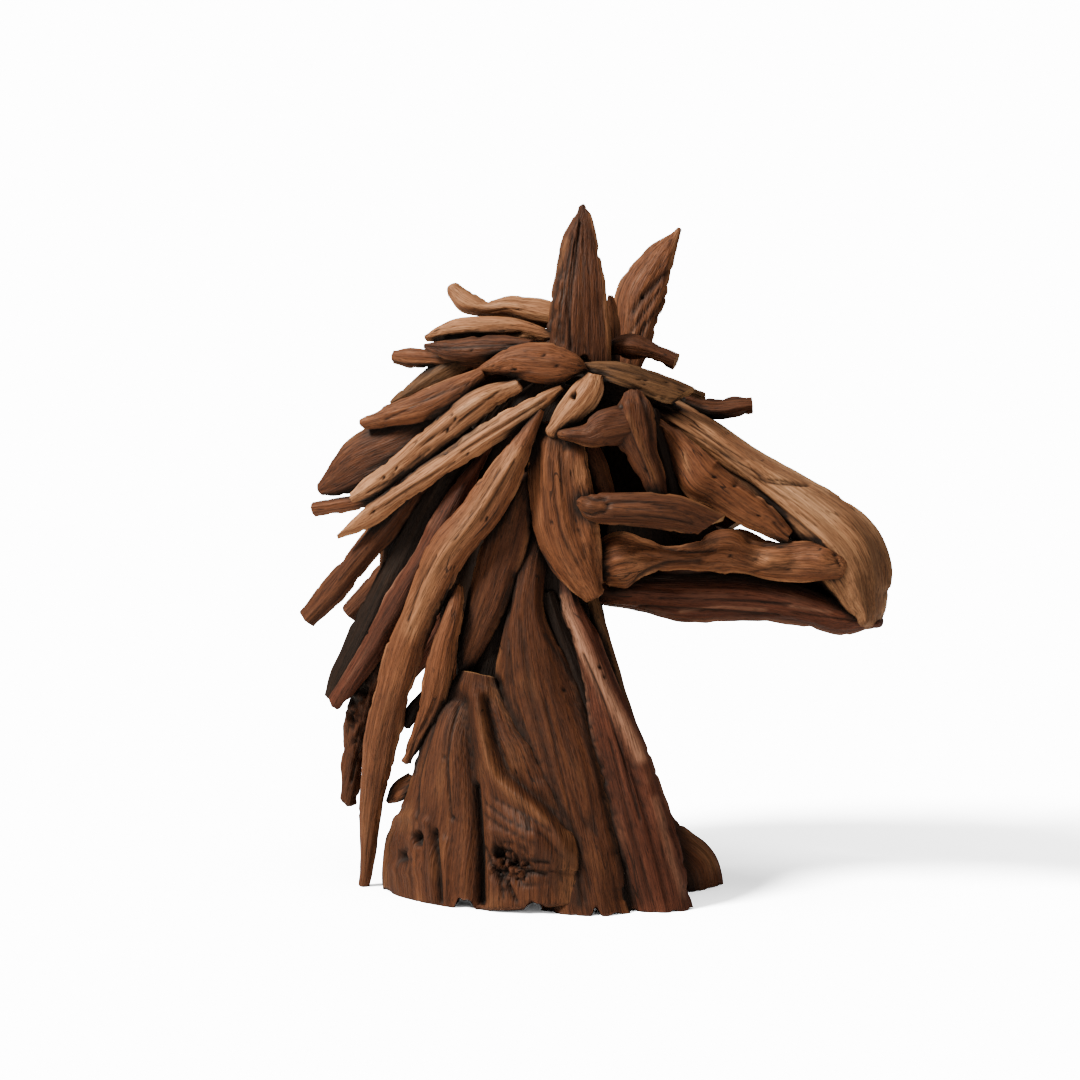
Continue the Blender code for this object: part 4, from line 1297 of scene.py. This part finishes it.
def raiseMesh(c, shift):
    piece, points = c["piece"], c["points"]
    rings, sides = points.shape[:2]
    inner = slice(1, rings - 1)
    ends = [points[0].mean(0), points[-1].mean(0)]
    verts = (np.vstack([points[inner].reshape(-1, 3), ends]) / 1000 + shift).astype(np.float32)
    k = np.arange(sides)
    after = (k + 1) % sides
    row = (np.arange(rings - 3) * sides)[:, None]
    quads = np.stack([row + k, row + after, row + sides + after, row + sides + k], axis=-1).reshape(-1, 4)
    first, last = (rings - 2) * sides, (rings - 2) * sides + 1
    lastRow = (rings - 3) * sides
    fans = np.vstack([np.column_stack([after, k, np.full(sides, first)]),
                      np.column_stack([lastRow + k, lastRow + after, np.full(sides, last)])])
    if c["flip"]:
        quads, fans = quads[:, ::-1], fans[:, ::-1]
    data = bpy.data.meshes.new(piece["name"])
    data.vertices.add(len(verts))
    data.vertices.foreach_set("co", verts.ravel())
    corners = np.concatenate([quads.ravel(), fans.ravel()]).astype(np.int32)
    data.loops.add(len(corners))
    data.loops.foreach_set("vertex_index", corners)
    data.polygons.add(len(quads) + len(fans))
    starts = np.concatenate([np.arange(len(quads)) * 4, len(quads) * 4 + np.arange(len(fans)) * 3])
    data.polygons.foreach_set("loop_start", starts.astype(np.int32))
    data.update(calc_edges=True)
    data.polygons.foreach_set("use_smooth", np.ones(len(data.polygons), bool))

    def perVertex(name, kind, array, key):
        array = np.vstack([array[inner].reshape(-1, array.shape[-1]), array[0].mean(0), array[-1].mean(0)])
        data.attributes.new(name, kind, "POINT").data.foreach_set(key, array.astype(np.float32).ravel())

    perVertex("wood", "FLOAT_VECTOR", c["wood"], "vector")
    look = np.stack([c["hollowShade"], c["wearAndHighlight"], c["jointShade"], c["sawn"]], axis=-1)
    perVertex("look", "FLOAT_COLOR", look, "color")
    obj = bpy.data.objects.new(piece["name"], data)
    bpy.context.scene.collection.objects.link(obj)
    data.materials.append(woods[piece["finish"]])
    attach(obj, "root")
    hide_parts(piece["node"])
    return len(quads) * 2 + len(fans)


shift = np.array(drawing["shift"])
triangles = [raiseMesh(c, shift) for c in carved]
print("meshes:", len(triangles), "pieces,", sum(triangles), "triangles, the largest", max(triangles))

# stage: pale floor, soft light and the camera on the drawing's sight line

stage = {
    "floor": 6.0,  # metres from the middle to each edge
    "floorColour": "#f4f3f1",
    "world": 0.17,  # how bright the backdrop lights the horse
    "white": 14.0,  # and how bright it looks
    "warmth": (1.0, 0.92, 0.8),
    "aim": (0, 0, 0.32),
    "sensor": 36,
    "lens": 36 * 1.6 / 1.08,  # one millimetre of the drawing is a pixel of 1080
}
# Place and width in metres, power in watts
lights = {
    "keyLight": ((-1.5, -1.3, 2.1), 0.7, 150.0),
    "topLight": ((0.3, -0.3, 2.4), 1.2, 14.0),
    "fillLight": ((1.8, -1.4, 0.9), 1.6, 3.0),
}


def matt(name, code):
    finish = bpy.data.materials.new(name)
    finish.use_nodes = True
    finish.node_tree.nodes["Principled BSDF"].inputs["Base Color"].default_value = linear(code)
    finish.node_tree.nodes["Principled BSDF"].inputs["Roughness"].default_value = 0.9
    return finish


half = stage["floor"]
floorMesh = bpy.data.meshes.new("paleFloor")
corners = [(-half, -half, 0), (half, -half, 0), (half, half, 0), (-half, half, 0)]
floorMesh.from_pydata(corners, [], [(0, 1, 2, 3)])
floor = bpy.data.objects.new("paleFloor", floorMesh)
bpy.context.scene.collection.objects.link(floor)
floorMesh.materials.append(matt("paleFloorPaint", stage["floorColour"]))
floor.is_shadow_catcher = True  # it shows as the white background with a soft shadow


def softLight(name, place, size, power):
    light = bpy.data.lights.new(name, "AREA")
    light.shape, light.size, light.energy, light.color = "DISK", size, power, stage["warmth"]
    lamp = bpy.data.objects.new(name, light)
    lamp.location = place
    lamp.rotation_euler = (Vector(stage["aim"]) - Vector(place)).to_track_quat("-Z", "Y").to_euler()
    bpy.context.scene.collection.objects.link(lamp)


for name, (place, size, power) in lights.items():
    softLight(name, place, size, power)
world = bpy.data.worlds.new("studio")
bpy.context.scene.world = world
world.use_nodes = True
sky = world.node_tree.nodes["Background"]
sky.inputs["Color"].default_value = (1, 1, 1, 1)
seen = addNode(world.node_tree, "ShaderNodeLightPath", {}).outputs["Is Camera Ray"]
settings = {"Value": seen, "To Min": stage["world"], "To Max": stage["white"]}
bright = addNode(world.node_tree, "ShaderNodeMapRange", settings)  # the backdrop shows whiter than its light
world.node_tree.links.new(bright.outputs[0], sky.inputs["Strength"])

camera = bpy.data.objects.new("camera", bpy.data.cameras.new("camera"))
camera.location = eye / 1000 + shift
camera.rotation_euler = (math.pi / 2, 0, drawing["turn"])
camera.data.sensor_width, camera.data.lens = stage["sensor"], stage["lens"]
bpy.context.scene.collection.objects.link(camera)
bpy.context.scene.camera = camera

print("stage set")
